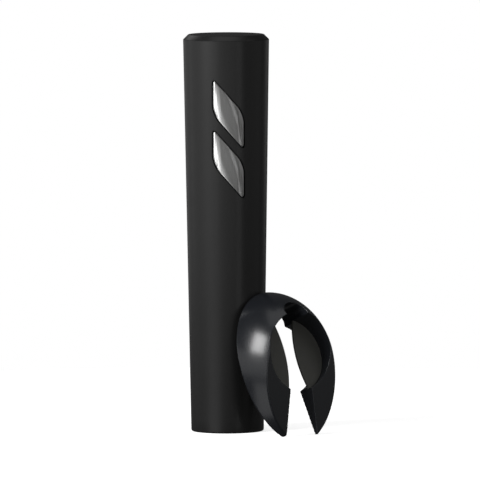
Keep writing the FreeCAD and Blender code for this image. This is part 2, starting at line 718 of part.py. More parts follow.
def carrier_pins(z, thickness):
    pin = cylinder(PLANET_PIN_RADIUS, z, z + thickness + FACE_WIDTH + 2 * RUN, CENTRE_DISTANCE)
    return Part.makeCompound(around(pin, PLANETS))


def output_carrier():
    return carrier(CARRIER_2_Z, DISC).cut(keyed_stub(KEY_RADIUS, CARRIER_2_Z - 1, CARRIER_2_Z + DISC + 1))


def input_carrier():
    """First-stage carrier with the second stage's sun below it."""
    sun = turned(gear(SUN_TEETH, PLANETS_2_Z, CARRIER_1_Z + 0.5), 180.0 / SUN_TEETH)
    return fused([carrier(CARRIER_1_Z, INPUT_CARRIER), sun])


def planet(z, index):
    wheel = gear(PLANET_TEETH, z, z + FACE_WIDTH, PLANET_PIN_RADIUS + SHAFT_FIT)
    hole = cylinder(PLANET_HOLE_RADIUS, z - 1, z + FACE_WIDTH + 1, PLANET_HOLE_CENTRE)
    for hole in around(hole, PLANET_HOLES, 180 / PLANET_HOLES):
        wheel = wheel.cut(hole)
    place = polar(CENTRE_DISTANCE, 360.0 * index / PLANETS)
    return moved(wheel, place.x, place.y, 0)


def pinion():
    wheel = gear(SUN_TEETH, PLANETS_1_Z, PLANETS_1_Z + FACE_WIDTH + 0.5, MOTOR_SHAFT_RADIUS)
    return turned(wheel, 180.0 / SUN_TEETH)


# ---------------------------------------------------------------- motor
def motor_can():
    can = tube(MOTOR_RADIUS, MOTOR_RADIUS - MOTOR_WALL, MOTOR_Z, MOTOR_TOP - END_BELL)
    front = cylinder(MOTOR_RADIUS, MOTOR_Z, MOTOR_Z + MOTOR_FRONT)
    boss = cylinder(MOTOR_BOSS, MOTOR_PLATE_Z + MOTOR_NOSE_GAP, MOTOR_Z + JOIN)
    can = fused([can, front, boss])
    can = can.cut(cylinder(MOTOR_BUSH_RADIUS, MOTOR_PLATE_Z - 1, MOTOR_Z + MOTOR_FRONT + 1))
    for screw in motor_screws():
        can = can.cut(screw)
    return can


def motor_magnets():
    outer = MOTOR_RADIUS - MOTOR_WALL - GLUE
    bar = tube(outer, outer - MAGNET_THICKNESS, ARMATURE_Z - 1, ARMATURE_Z - 1 + MAGNET_LENGTH)
    spread = math.radians(MAGNET_ANGLE / 2)
    reach = outer * 2
    wedge = Part.Face(Part.makePolygon([
        Vector(0, 0, 0), Vector(reach * math.cos(spread), -reach * math.sin(spread), 0),
        Vector(reach, 0, 0), Vector(reach * math.cos(spread), reach * math.sin(spread), 0), Vector(0, 0, 0),
    ])).extrude(Vector(0, 0, HEIGHT))
    return Part.makeCompound(around(bar.common(wedge), 2))


def motor_end_bell():
    bell = cylinder(MOTOR_RADIUS, MOTOR_TOP - END_BELL, MOTOR_TOP)
    under = MOTOR_TOP - END_BELL
    spigot = cylinder(MOTOR_RADIUS - MOTOR_WALL - GLUE, under - BELL_SPIGOT, under + JOIN)
    bell = fused([bell, spigot.cut(cylinder(BELL_SPIGOT_INNER, 0, HEIGHT))])
    bell = bell.cut(cylinder(MOTOR_BUSH_RADIUS, 0, HEIGHT))
    for side in (-1, 1):
        bell = bell.cut(terminal_blade(side))
    return bell


def terminal_blade(side):
    x = side * TERMINAL_X
    return block(x - TERMINAL_HALF_THICKNESS, x + TERMINAL_HALF_THICKNESS, -TERMINAL_HALF_WIDTH,
                 TERMINAL_HALF_WIDTH, MOTOR_TOP - END_BELL, MOTOR_TOP + TERMINAL_LENGTH)


def motor_bushes():
    hole = MOTOR_SHAFT_RADIUS + SHAFT_FIT
    front = tube(MOTOR_BUSH_RADIUS, hole, MOTOR_PLATE_Z + MOTOR_NOSE_GAP, MOTOR_Z + MOTOR_FRONT)
    rear = tube(MOTOR_BUSH_RADIUS, hole, MOTOR_TOP - END_BELL, MOTOR_TOP)
    return Part.makeCompound([front, rear])


def armature():
    core = cylinder(ARMATURE_RADIUS, ARMATURE_Z, ARMATURE_Z + ARMATURE_LENGTH)
    core = core.cut(cylinder(MOTOR_SHAFT_RADIUS, 0, HEIGHT))
    for slot in armature_slots():
        core = core.cut(slot)
    return core


def armature_slots():
    z0, z1 = ARMATURE_Z - 1, ARMATURE_Z + ARMATURE_LENGTH + 1
    half = ARMATURE_SLOT_MOUTH / 2
    slot = cylinder(ARMATURE_SLOT_RADIUS, z0, z1, ARMATURE_SLOT_CENTRE)
    slot = slot.fuse(block(ARMATURE_SLOT_CENTRE, ARMATURE_RADIUS + 1, -half, half, z0, z1))
    return around(slot, ARMATURE_POLES)


def windings():
    """Enamelled wire in the slots, with a bundle of end turns on both faces."""
    z0, z1 = ARMATURE_Z, ARMATURE_Z + ARMATURE_LENGTH
    pieces = [tube(END_TURN_RADIUS, END_TURN_INNER, z0 - END_TURN_LENGTH, z0),
              tube(END_TURN_RADIUS, END_TURN_INNER, z1, z1 + END_TURN_LENGTH)]
    wire = cylinder(WINDING_RADIUS, z0 - DEEP_JOIN, z1 + DEEP_JOIN, ARMATURE_SLOT_CENTRE)
    pieces += around(wire, ARMATURE_POLES)
    return fused(pieces)


def commutator():
    z0 = ARMATURE_Z + ARMATURE_LENGTH + COMMUTATOR_INSET
    body = tube(COMMUTATOR_RADIUS, MOTOR_SHAFT_RADIUS, z0, z0 + COMMUTATOR_LENGTH)
    slit = block(COMMUTATOR_CORE, COMMUTATOR_RADIUS + 1, -COMMUTATOR_SLIT, COMMUTATOR_SLIT,
                 z0 - 1, z0 + COMMUTATOR_LENGTH + 1)
    for slit in around(slit, ARMATURE_POLES, 180 / ARMATURE_POLES):
        body = body.cut(slit)
    return body


# ---------------------------------------------------------------- power and control
def cell_places():
    half = CELL_SPACING / 2
    return [(half, half, False), (-half, half, True), (-half, -half, False), (half, -half, True)]


def battery_holder():
    holder = cylinder(HOLDER_RADIUS, HOLDER_FLOOR_Z, CHASSIS_TOP - 0.5)
    for x, y, low in cell_places():
        holder = holder.cut(cylinder(CELL_RADIUS + CELL_FIT, CONTACT_Z, CHASSIS_TOP, x, y))
    return holder


def cell(x, y, low):
    """AA cell; every other one stands on its nub."""
    if low:
        can = cylinder(CELL_RADIUS, CELL_LOW_Z + CELL_NUB, CELL_LOW_Z + CELL_NUB + CELL_LENGTH, x, y)
        nub = cylinder(CELL_NUB_RADIUS, CELL_LOW_Z, CELL_LOW_Z + CELL_NUB + JOIN, x, y)
    else:
        can = cylinder(CELL_RADIUS, CELL_HIGH_Z, CELL_HIGH_Z + CELL_LENGTH, x, y)
        nub = cylinder(CELL_NUB_RADIUS, CELL_TOP - CELL_NUB - JOIN, CELL_TOP, x, y)
    return fused([can, nub])


def lower_contacts():
    """Contact plates in the holder, with a spring under each cell that stands on its flat end."""
    pieces = [cylinder(CONTACT_RADIUS, CONTACT_Z, CELL_LOW_Z, x, y) for x, y, low in cell_places()]
    pieces += [coil_spring(x, y, CELL_LOW_Z, CELL_HIGH_Z) for x, y, low in cell_places() if not low]
    return Part.makeCompound(pieces)


def upper_contacts():
    """Contact plates under the cap, with a spring for each cell that stands on its nub."""
    bottom = CELL_LOW_Z + CELL_NUB + CELL_LENGTH
    pieces = [cylinder(CONTACT_RADIUS, UPPER_CONTACT_Z, CAP_FLOOR_Z, x, y) for x, y, low in cell_places()]
    pieces += [coil_spring(x, y, bottom + SEAT, UPPER_CONTACT_Z) for x, y, low in cell_places() if low]
    return Part.makeCompound(pieces)


def top_cap():
    """Chamfered lid with a spigot for the seal and a column that presses on the cells."""
    spigot_bottom = SHOULDER_Z - CAP_SPIGOT
    spigot = inner_radius(spigot_bottom) - RUN
    column = HOLDER_RADIUS - CAP_COLUMN_INSET
    lid = revolve([
        (0, SHOULDER_Z), (TOP_RADIUS, SHOULDER_Z), (TOP_RADIUS - CAP_CHAMFER, HEIGHT), (0, HEIGHT),
    ])
    ring = tube(spigot, spigot - CAP_SPIGOT_WALL, spigot_bottom, SHOULDER_Z + JOIN)
    groove_z = spigot_bottom + CAP_SPIGOT / 2
    ring = ring.cut(seal_torus(spigot, groove_z, SEAL_WIRE + SEAT))
    walls = tube(column, column - CAP_COLUMN_WALL, CAP_FLOOR_Z, SHOULDER_Z + JOIN)
    floor = cylinder(column, CAP_FLOOR_Z, CAP_FLOOR_Z + WEB)
    return fused([lid, ring, walls, floor])


def seal_torus(spigot, z, wire):
    """Ring round the cap's spigot that stands out nearly to the shell."""
    return Part.makeTorus(spigot + RUN - SHAFT_FIT - SEAL_WIRE, wire, Vector(0, 0, z))


def cap_seal():
    spigot_bottom = SHOULDER_Z - CAP_SPIGOT
    return seal_torus(inner_radius(spigot_bottom) - RUN, spigot_bottom + CAP_SPIGOT / 2, SEAL_WIRE)


def button_plate(z):
    """Steel leaf that follows the body's curve, with a bevelled rim."""
    z0, z1 = z - BUTTON_HALF_HEIGHT - SPARE, z + BUTTON_HALF_HEIGHT + SPARE
    plate = leaf_prism(z, 0).common(tapered(-BUTTON_BEVEL, z0, z1))
    crown = leaf_prism(z, -BUTTON_BEVEL).common(tapered(0, z0, z1))
    return fused([plate, crown]).cut(tapered(-BUTTON_PLATE, z0 - 1, z1 + 1))


def button_key(z):
    """Moulded carrier behind a button, with a retaining flange and a post for the switch."""
    z0, z1 = z - BUTTON_HALF_HEIGHT - SPARE, z + BUTTON_HALF_HEIGHT + SPARE
    key = leaf_prism(z, -SEAT).common(tapered(-BUTTON_PLATE - GLUE, z0, z1))
    key = key.cut(tapered(-KEY_DEPTH, z0 - 1, z1 + 1))
    front = -SHELL_WALL - FLANGE_GAP
    flange = leaf_prism(z, KEY_FLANGE).common(tapered(front, z0, z1))
    flange = flange.cut(tapered(front - KEY_FLANGE_THICKNESS, z0 - 1, z1 + 1))
    post_end = SWITCH_FRONT_Y - BUTTON_TRAVEL - SEAT
    post = rod(KEY_POST_RADIUS, -body_radius(z) + KEY_DEPTH - DEEP_JOIN, post_end, 0, z)
    pusher_end = BOARD_FRONT_Y - BUTTON_TRAVEL - SEAT
    pusher = rod(PUSHER_RADIUS, SWITCH_FRONT_Y - BUTTON_TRAVEL - DEEP_JOIN, pusher_end, 0, z)
    return fused([key, flange, post, pusher])


def circuit_board():
    z0, z1 = LOWER_BUTTON_Z - BOARD_MARGIN, UPPER_BUTTON_Z + BOARD_MARGIN
    board = block(-BOARD_HALF_WIDTH, BOARD_HALF_WIDTH, BOARD_FRONT_Y, BOARD_BACK_Y, z0, z1)
    for screw in board_screws():
        board = board.cut(screw)
    return board


def board_screws():
    screws = []
    reach = BOARD_MARGIN - BOARD_SCREW_INSET
    for z in (LOWER_BUTTON_Z - reach, UPPER_BUTTON_Z + reach):
        head = rod(SCREW_HEAD_RADIUS, BOARD_FRONT_Y - BOARD_SCREW_HEAD, BOARD_FRONT_Y, BOARD_SCREW_X, z)
        shank = rod(BOARD_SCREW_RADIUS, BOARD_FRONT_Y - BOARD_SCREW_HEAD / 2, BOARD_BACK_Y + BOARD_SCREW_BITE,
                    BOARD_SCREW_X, z)
        screws.append(head.fuse(shank))
    return screws


def switch_body(z):
    half = SWITCH_SIZE / 2
    body = block(-half, half, SWITCH_FRONT_Y, BOARD_FRONT_Y, z - half, z + half)
    return body.cut(rod(PUSHER_RADIUS + SEAT, SWITCH_FRONT_Y - 1, BOARD_FRONT_Y, 0, z))


def driver_parts():
    """Motor driver chip, two transistors and a capacitor on the board."""
    middle = (UPPER_BUTTON_Z + LOWER_BUTTON_Z) / 2
    front = BOARD_FRONT_Y
    half = CHIP_HALF_WIDTH
    chip = block(-half, half, front - CHIP_HEIGHT, front, middle - half, middle + half)
    near, far = TRANSISTOR_X
    low, high = TRANSISTOR_Z
    left = block(-far, -near, front - TRANSISTOR_HEIGHT, front, middle + low, middle + high)
    right = block(near, far, front - TRANSISTOR_HEIGHT, front, middle + low, middle + high)
    capacitor = rod(CAPACITOR_RADIUS, front - TRANSISTOR_HEIGHT, front, 0, middle - CAPACITOR_DROP)
    return Part.makeCompound([chip, left, right, capacitor])


# ---------------------------------------------------------------- foil cutter
def dome_scale():
    """Size of the dome's section at the flat back, as a share of its full size."""
    return math.sqrt(1 - (CUTTER_SINK / CUTTER_DOME) ** 2)


def quarter_ellipse(half_width, height, sign):
    """Face between the V axis and a quarter ellipse that rises or falls from the widest place."""
    centre = Vector(0, 0, 0)
    wide = Vector(half_width, 0, 0)
    end = Vector(0, sign * height, 0)
    ellipse = Part.Ellipse(end, wide, centre)
    start, stop = sorted((ellipse.parameter(wide), ellipse.parameter(end)))
    if stop - start > math.pi:
        start, stop = stop, start + 2 * math.pi
    arc = Part.Arc(ellipse, start, stop).toShape()
    return Part.Face(Part.Wire([Part.makeLine(centre, wide), arc, Part.makeLine(end, centre)]))


def cutter_dome():
    full = dome_scale()
    half_width = CUTTER_HALF_WIDTH / full
    halves = []
    for height, sign in ((CUTTER_CROWN, 1), (CUTTER_ARM, -1)):
        face = quarter_ellipse(half_width, height / full, sign)
        halves.append(face.revolve(Vector(0, 0, 0), Vector(0, 1, 0), 360))
    dome = halves[0].fuse(halves[1])
    stretch = Matrix()
    stretch.scale(1, 1, CUTTER_DOME / half_width)
    return moved(dome.transformGeometry(stretch), 0, CUTTER_WIDE_V, -CUTTER_SINK)


def facet_n(v):
    """Height of the sloping front facet above the flat back."""
    return FACET_START + FACET_SLOPE * v


def cutter_envelope():
    """Side outline of the cutter, flat at the back and sloping at the front."""
    top = CUTTER_WIDE_V + CUTTER_CROWN + SPARE
    outline = [(0, 0), (facet_n(0), 0), (facet_n(top), top), (0, top)]
    points = [Vector(-CUTTER_HALF_WIDTH - SPARE, v, n) for n, v in outline]
    face = Part.Face(Part.makePolygon(points + points[:1]))
    return face.extrude(Vector(2 * CUTTER_HALF_WIDTH + 2 * SPARE, 0, 0))


def cutter_blank():
    """Cutter body before its openings, with a soft crease round the facet."""
    blank = cutter_dome().common(cutter_envelope())
    creases = []
    for edge in blank.Edges:
        middle = edge.valueAt((edge.FirstParameter + edge.LastParameter) / 2)
        if abs(middle.z - facet_n(middle.y)) < 0.001 and middle.y > 1:
            creases.append(edge)
    return blank.makeFillet(CREASE_RADIUS, creases)


def cutter_cylinder(radius, n0, n1, u=0.0, v=RECESS_V):
    return Part.makeCylinder(radius, n1 - n0, Vector(u, v, n0))


def wheel_places():
    places = []
    for degrees in range(45, 360, 90):
        offset = polar(WHEEL_CENTRE, degrees)
        places.append((offset.x, RECESS_V + offset.y))
    return places


def cutter_body():
    """Horseshoe with a round recess, a channel with a round end and a throat that opens to the tips."""
    body = cutter_blank()
    seat = STOP_FRONT_N - STOP_THICKNESS
    deep = CUTTER_HALF_WIDTH + SPARE
    body = body.cut(cutter_cylinder(RECESS_RADIUS, seat, deep))
    body = body.cut(cutter_cylinder(RECESS_RADIUS - STOP_LEDGE, -1, seat + 1))
    round_v = CHANNEL_TOP_V - CHANNEL_HALF
    body = body.cut(block(-CHANNEL_HALF, CHANNEL_HALF, THROAT_V, round_v, -1, deep))
    body = body.cut(cutter_cylinder(CHANNEL_HALF, -1, deep, 0, round_v))
    throat = [(-CHANNEL_HALF, THROAT_V + 0.5), (CHANNEL_HALF, THROAT_V + 0.5), (CHANNEL_HALF, THROAT_V),
              (THROAT_TIP_HALF, 0), (THROAT_TIP_HALF, -1), (-THROAT_TIP_HALF, -1), (-THROAT_TIP_HALF, 0),
              (-CHANNEL_HALF, THROAT_V)]
    points = [Vector(u, v, -1) for u, v in throat]
    gap = Part.Face(Part.makePolygon(points + points[:1])).extrude(Vector(0, 0, deep))
    return body.cut(gap)


def cutter_stops():
    """Two plates that a bottle's lip rests on, with bowed inner edges and a boss over each wheel."""
    n0 = STOP_FRONT_N - STOP_THICKNESS
    radius = RECESS_RADIUS - SEAT
    disc = cutter_cylinder(radius, n0, STOP_FRONT_N)
    bow = CHANNEL_HALF - STOP_HALF_GAP
    bow_radius = (radius * radius + bow * bow) / (2 * bow)
    plates = []
    for side in (-1, 1):
        round_edge = cutter_cylinder(bow_radius, n0, STOP_FRONT_N, side * (STOP_HALF_GAP + bow_radius))
        pieces = [disc.common(round_edge)]
        for u, v in wheel_places():
            if u * side > 0:
                boss_end = WHEEL_N + WHEEL_THICKNESS / 2 + SEAT
                pieces.append(cutter_cylinder(WHEEL_BOSS_RADIUS, boss_end, n0 + 0.5, u, v))
        plate = fused(pieces)
        for axle in cutter_axle_pins():
            plate = plate.cut(axle)
        plates.append(plate)
    return Part.makeCompound(plates)


def cutter_wheel(u, v):
    """Disc blade with a sharp rim."""
    half = WHEEL_THICKNESS / 2
    shoulder = WHEEL_RADIUS - WHEEL_GRIND
    bore = AXLE_RADIUS + SHAFT_FIT
    outline = [(bore, -half), (shoulder, -half), (WHEEL_RADIUS, -WHEEL_EDGE),
               (WHEEL_RADIUS, WHEEL_EDGE), (shoulder, half), (bore, half)]
    return moved(revolve(outline), u, v, WHEEL_N)


def cutter_axle_pins():
    """Headed axles pressed into the backs of the plates."""
    head_top = WHEEL_N - WHEEL_THICKNESS / 2 - SEAT
    end = STOP_FRONT_N - STOP_THICKNESS + AXLE_GRIP
    pins = []
    for u, v in wheel_places():
        head = cutter_cylinder(AXLE_HEAD_RADIUS, head_top - AXLE_HEAD, head_top, u, v)
        pins.append(fused([head, cutter_cylinder(AXLE_RADIUS, head_top - JOIN, end, u, v)]))
    return pins


def cutter_half_width(v):
    """Half width of the cutter's back face at a height up its arms."""
    reach = CUTTER_CROWN if v > CUTTER_WIDE_V else CUTTER_ARM
    return CUTTER_HALF_WIDTH * math.sqrt(max(0.0, 1 - ((v - CUTTER_WIDE_V) / reach) ** 2))


def cutter_axes():
    across = Vector(math.cos(CUTTER_YAW), math.sin(CUTTER_YAW), 0)
    out = Vector(math.sin(CUTTER_YAW), -math.cos(CUTTER_YAW), 0)
    up = Vector(0, 0, 1)
    along = up * math.cos(CUTTER_LEAN) - out * math.sin(CUTTER_LEAN)
    front = out * math.cos(CUTTER_LEAN) + up * math.sin(CUTTER_LEAN)
    return across, along, front


def cutter_origin():
    """Middle of the tips, as far in front as keeps the leaning back clear of the tube."""
    across, along, front = cutter_axes()
    forward = 0.0
    side = Vector(CUTTER_SIDE, 0, 0)
    for row in range(STANDOFF_ROWS):
        v = (CUTTER_WIDE_V + CUTTER_CROWN) * row / (STANDOFF_ROWS - 1)
        for step in range(-STANDOFF_STEPS, STANDOFF_STEPS + 1):
            point = side + across * (cutter_half_width(v) * step / STANDOFF_STEPS) + along * v
            clear = body_radius(point.z) + CUTTER_STANDOFF
            if abs(point.x) < clear:
                forward = max(forward, point.y + math.sqrt(clear * clear - point.x * point.x))
    return Vector(CUTTER_SIDE, -forward, 0)


def stood(shape):
    """Move a cutter piece from its own axes to where it leans on the tube."""
    u, v, n = cutter_axes()
    o = cutter_origin()
    placed = shape.copy()
    stand = FreeCAD.Placement(Matrix(u.x, v.x, n.x, o.x, u.y, v.y, n.y, o.y, u.z, v.z, n.z, o.z, 0, 0, 0, 1))
    placed.Placement = stand.multiply(shape.Placement)
    return placed


# ---------------------------------------------------------------- all pieces
def main():
    save("outer_shell", outer_shell())
    save("base_ring", base_ring())
    save("bottle_guide", bottle_guide())
    frame = chassis()
    front = chassis_half(frame, True)
    for screw in board_screws():
        front = front.cut(screw)
    save("chassis_front", front)
    save("chassis_rear", chassis_half(frame, False))
    save("chassis_screws", chassis_screws())

    save("helix_sleeve", helix_sleeve())
    save("drive_tube", drive_tube())
    save("carriage", carriage())
    save("follower_pins", Part.makeCompound(follower_pins()))
    save("worm", worm())

    save("gearbox_housing", gearbox_housing())
    save("gearbox_screws", Part.makeCompound(gearbox_screws()))
    save("output_bush", output_bush())
    save("output_carrier", output_carrier())
    save("output_carrier_pins", carrier_pins(CARRIER_2_Z, DISC))
    save("input_carrier", input_carrier())
    save("input_carrier_pins", carrier_pins(CARRIER_1_Z, INPUT_CARRIER))
    for i in range(PLANETS):
        save("input_planet_%d" % (i + 1), planet(PLANETS_1_Z, i))
        save("output_planet_%d" % (i + 1), planet(PLANETS_2_Z, i))
    save("motor_plate", motor_plate())
    save("motor_screws", Part.makeCompound(motor_screws()))

    save("motor_can", motor_can())
    save("motor_magnets", motor_magnets())
    save("motor_end_bell", motor_end_bell())
    save("motor_bushes", motor_bushes())
    save("motor_terminals", Part.makeCompound([terminal_blade(side) for side in (-1, 1)]))
    save("motor_shaft", cylinder(MOTOR_SHAFT_RADIUS, PLANETS_1_Z, MOTOR_TOP + SHAFT_TAIL))
    save("armature", armature())
    save("windings", windings())
    save("commutator", commutator())
    save("motor_pinion", pinion())

    save("battery_holder", battery_holder())
    for i, place in enumerate(cell_places()):
        save("cell_%d" % (i + 1), cell(*place))
    save("lower_contacts", lower_contacts())
    save("upper_contacts", upper_contacts())
    save("top_cap", top_cap())
    save("cap_seal", cap_seal())

    for name, z in (("upper", UPPER_BUTTON_Z), ("lower", LOWER_BUTTON_Z)):
        save(name + "_button", button_plate(z))
        save(name + "_key", button_key(z))
    save("switch_bodies", Part.makeCompound([switch_body(z) for z in (UPPER_BUTTON_Z, LOWER_BUTTON_Z)]))
    save("circuit_board", circuit_board())
    save("board_screws", Part.makeCompound(board_screws()))
    save("driver_parts", driver_parts())

    save("cutter_body", stood(cutter_body()))
    save("cutter_stops", stood(cutter_stops()))
    save("cutter_axles", stood(Part.makeCompound(cutter_axle_pins())))
    for i, place in enumerate(wheel_places()):
        save("cutter_wheel_%d" % (i + 1), stood(cutter_wheel(*place)))


main()
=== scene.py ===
"""Looks of a cordless electric wine opener and its foil cutter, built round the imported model."""
import math

import bmesh
import bpy
from mathutils import Matrix, Vector


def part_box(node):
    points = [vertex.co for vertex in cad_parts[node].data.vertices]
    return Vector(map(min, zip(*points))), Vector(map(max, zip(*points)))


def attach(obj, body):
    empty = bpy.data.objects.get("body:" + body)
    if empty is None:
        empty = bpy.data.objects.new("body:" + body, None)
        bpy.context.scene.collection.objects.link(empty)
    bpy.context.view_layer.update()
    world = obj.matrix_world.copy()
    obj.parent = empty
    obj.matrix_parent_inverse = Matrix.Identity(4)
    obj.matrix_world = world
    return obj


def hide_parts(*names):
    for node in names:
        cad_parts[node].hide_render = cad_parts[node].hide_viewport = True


bl_info = {
    "name": "Electric Wine Opener",
    "version": (1, 0, 0),
    "blender": (4, 5, 0),
    "location": "3D View > Sidebar > Wine Opener",
    "description": "Makes the visible pieces and finishes of a wine opener with its foil cutter",
    "category": "Add Mesh",
}

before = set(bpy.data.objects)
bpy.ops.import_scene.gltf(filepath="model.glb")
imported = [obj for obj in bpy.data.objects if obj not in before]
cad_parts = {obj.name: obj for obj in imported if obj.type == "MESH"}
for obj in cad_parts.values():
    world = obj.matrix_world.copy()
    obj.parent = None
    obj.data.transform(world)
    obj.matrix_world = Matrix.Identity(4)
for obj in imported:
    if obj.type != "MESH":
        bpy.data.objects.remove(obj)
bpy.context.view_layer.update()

MM = 0.001
SHELL_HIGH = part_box("outer_shell")[1]
CAP_LOW, CAP_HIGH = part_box("top_cap")
SHOULDER = SHELL_HIGH.z / MM
TOP_RADIUS = SHELL_HIGH.x / MM
CAP_TOP = CAP_HIGH.z / MM
BUTTON_HEIGHTS = {
    name: sum(corner.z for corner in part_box(name)) / 2 / MM
    for name in ("upper_button", "lower_button")
}

# Corners sharper than this stay crisp, and anything nearer than this counts as the same place
CREASE = math.radians(32)
TOUCH = MM / 1000

# A button's corners and thickness, in mm
LEAF_TIP_RADIUS = 1.2
LEAF_SIDE_RADIUS = 17.0
BUTTON_RIM_DROP = 0.35
BUTTON_THICKNESS = 0.85

# The foil cutter's own axes, in mm: U across it, V up its arms and N out of its front, from the
# middle of its tips. Its front is a dome, sunk below its back, that runs into a slope to the tips.
CUTTER_YAW = math.radians(35)
CUTTER_LEAN = math.radians(21)
CUTTER_ORIGIN = Vector((45.3, -42.152, 0))
TIP_TO_WIDE = 50.0
HALF_WIDTH = 36.0
CROWN_REACH = 49.0
TAIL_REACH = 55.0
DOME_HEIGHT = 50.0
DOME_SINK = 14.0
# How much of its full radius the sunk dome still has at the cutter's back
DOME_FULL = math.sqrt(1 - (DOME_SINK / DOME_HEIGHT) ** 2)
TIP_THICKNESS = 3.0
SLOPE_RISE = 0.36
SLOPE_BLEND = 1.1
RECESS_V = 52.3
RECESS_RADIUS = 25.0
RECESS_FLOOR = 9.0
WINDOW_RADIUS = 23.8
WINDOW_TOP = 20.0
CHANNEL_HALF_WIDTH = 8.8
CHANNEL_TOP = 85.0
THROAT_V = 28.5
MOUTH_HALF_WIDTH = 12.8
# Heights clear of the cutter's back and of its front, for the tools that cut through it
BELOW, ABOVE = -5.0, 60.0


def linear(code):
    """Linear colour of an sRGB hex value."""
    parts = [int(code[i:i + 2], 16) / 255 for i in (0, 2, 4)]
    return [p / 12.92 if p <= 0.04045 else ((p + 0.055) / 1.055) ** 2.4 for p in parts]


# ---------------------------------------------------------------- sizes and colours
class OpenerSizes(bpy.types.PropertyGroup):
    """Sizes that a user would change, in the scene's metres."""

    base_radius: bpy.props.FloatProperty(
        name="Base radius", description="Radius of the tapered body at its base",
        default=23.95 * MM, unit="LENGTH", precision=5)
    shell_wall: bpy.props.FloatProperty(
        name="Shell wall", description="Thickness of the outer shell",
        default=1.6 * MM, unit="LENGTH", precision=5)
    base_edge: bpy.props.FloatProperty(
        name="Base edge", description="Radius of the rounded edge at the base",
        default=1.3 * MM, unit="LENGTH", precision=5)
    cap_chamfer: bpy.props.FloatProperty(
        name="Cap chamfer", description="Width of the 45 degree chamfer round the cap",
        default=3.4 * MM, unit="LENGTH", precision=5)
    cap_edge: bpy.props.FloatProperty(
        name="Cap edge", description="Radius that softens both edges of the chamfer",
        default=0.5 * MM, unit="LENGTH", precision=5)
    button_half_width: bpy.props.FloatProperty(
        name="Button half width", description="Half the width of a leaf-shaped button",
        default=10.0 * MM, unit="LENGTH", precision=5)
    button_half_height: bpy.props.FloatProperty(
        name="Button half height", description="Height of a button's tips above its middle",
        default=22.9 * MM, unit="LENGTH", precision=5)
    button_gap: bpy.props.FloatProperty(
        name="Button gap", description="Gap between a button and the edge of its opening",
        default=0.9 * MM, unit="LENGTH", precision=5)
    button_bevel: bpy.props.FloatProperty(
        name="Button bevel", description="Width of the bright bevel round a button",
        default=0.6 * MM, unit="LENGTH", precision=5)
    cutter_voxel: bpy.props.FloatProperty(
        name="Cutter detail", description="Size of the faces of the foil cutter's body",
        default=0.42 * MM, unit="LENGTH", precision=5)


class OpenerColours(bpy.types.PropertyGroup):
    """Colours that a user would change."""

    body: bpy.props.FloatVectorProperty(
        name="Body", description="Soft-touch lacquer of the body and cap",
        default=linear("1b1b1b"), subtype="COLOR", min=0, max=1)
    steel: bpy.props.FloatVectorProperty(
        name="Buttons", description="Brushed stainless steel of the buttons",
        default=linear("c9c9c8"), subtype="COLOR", min=0, max=1)
    cutter: bpy.props.FloatVectorProperty(
        name="Foil cutter", description="Polished moulding of the foil cutter",
        default=linear("1e2024"), subtype="COLOR", min=0, max=1)
    plates: bpy.props.FloatVectorProperty(
        name="Stop plates", description="Matt moulding of the foil cutter's two stop plates",
        default=linear("53534f"), subtype="COLOR", min=0, max=1)
    floor: bpy.props.FloatVectorProperty(
        name="Floor", description="Studio floor",
        default=linear("f4f4f4"), subtype="COLOR", min=0, max=1)


# ---------------------------------------------------------------- materials
def add_node(tree, kind, settings=None, links=None):
    """Adds a node, sets its properties and inputs, and links its inputs to other nodes' outputs."""
    made = tree.nodes.new(kind)
    for key, value in (settings or {}).items():
        if isinstance(key, str) and hasattr(made, key):
            setattr(made, key, value)
        else:
            made.inputs[key].default_value = value
    for key, source in (links or {}).items():
        tree.links.new(source, made.inputs[key])
    return made


# Share of the slow changes in the mix, the mix's usual range, and how strongly a bump shows
SLOW_SHARE = 0.4
MIX_LOW, MIX_HIGH = 0.3, 0.7
BUMP_STRENGTH = 0.6
# Stretch that makes one band of a wave pattern as long as its size
ONE_WAVE = 0.314


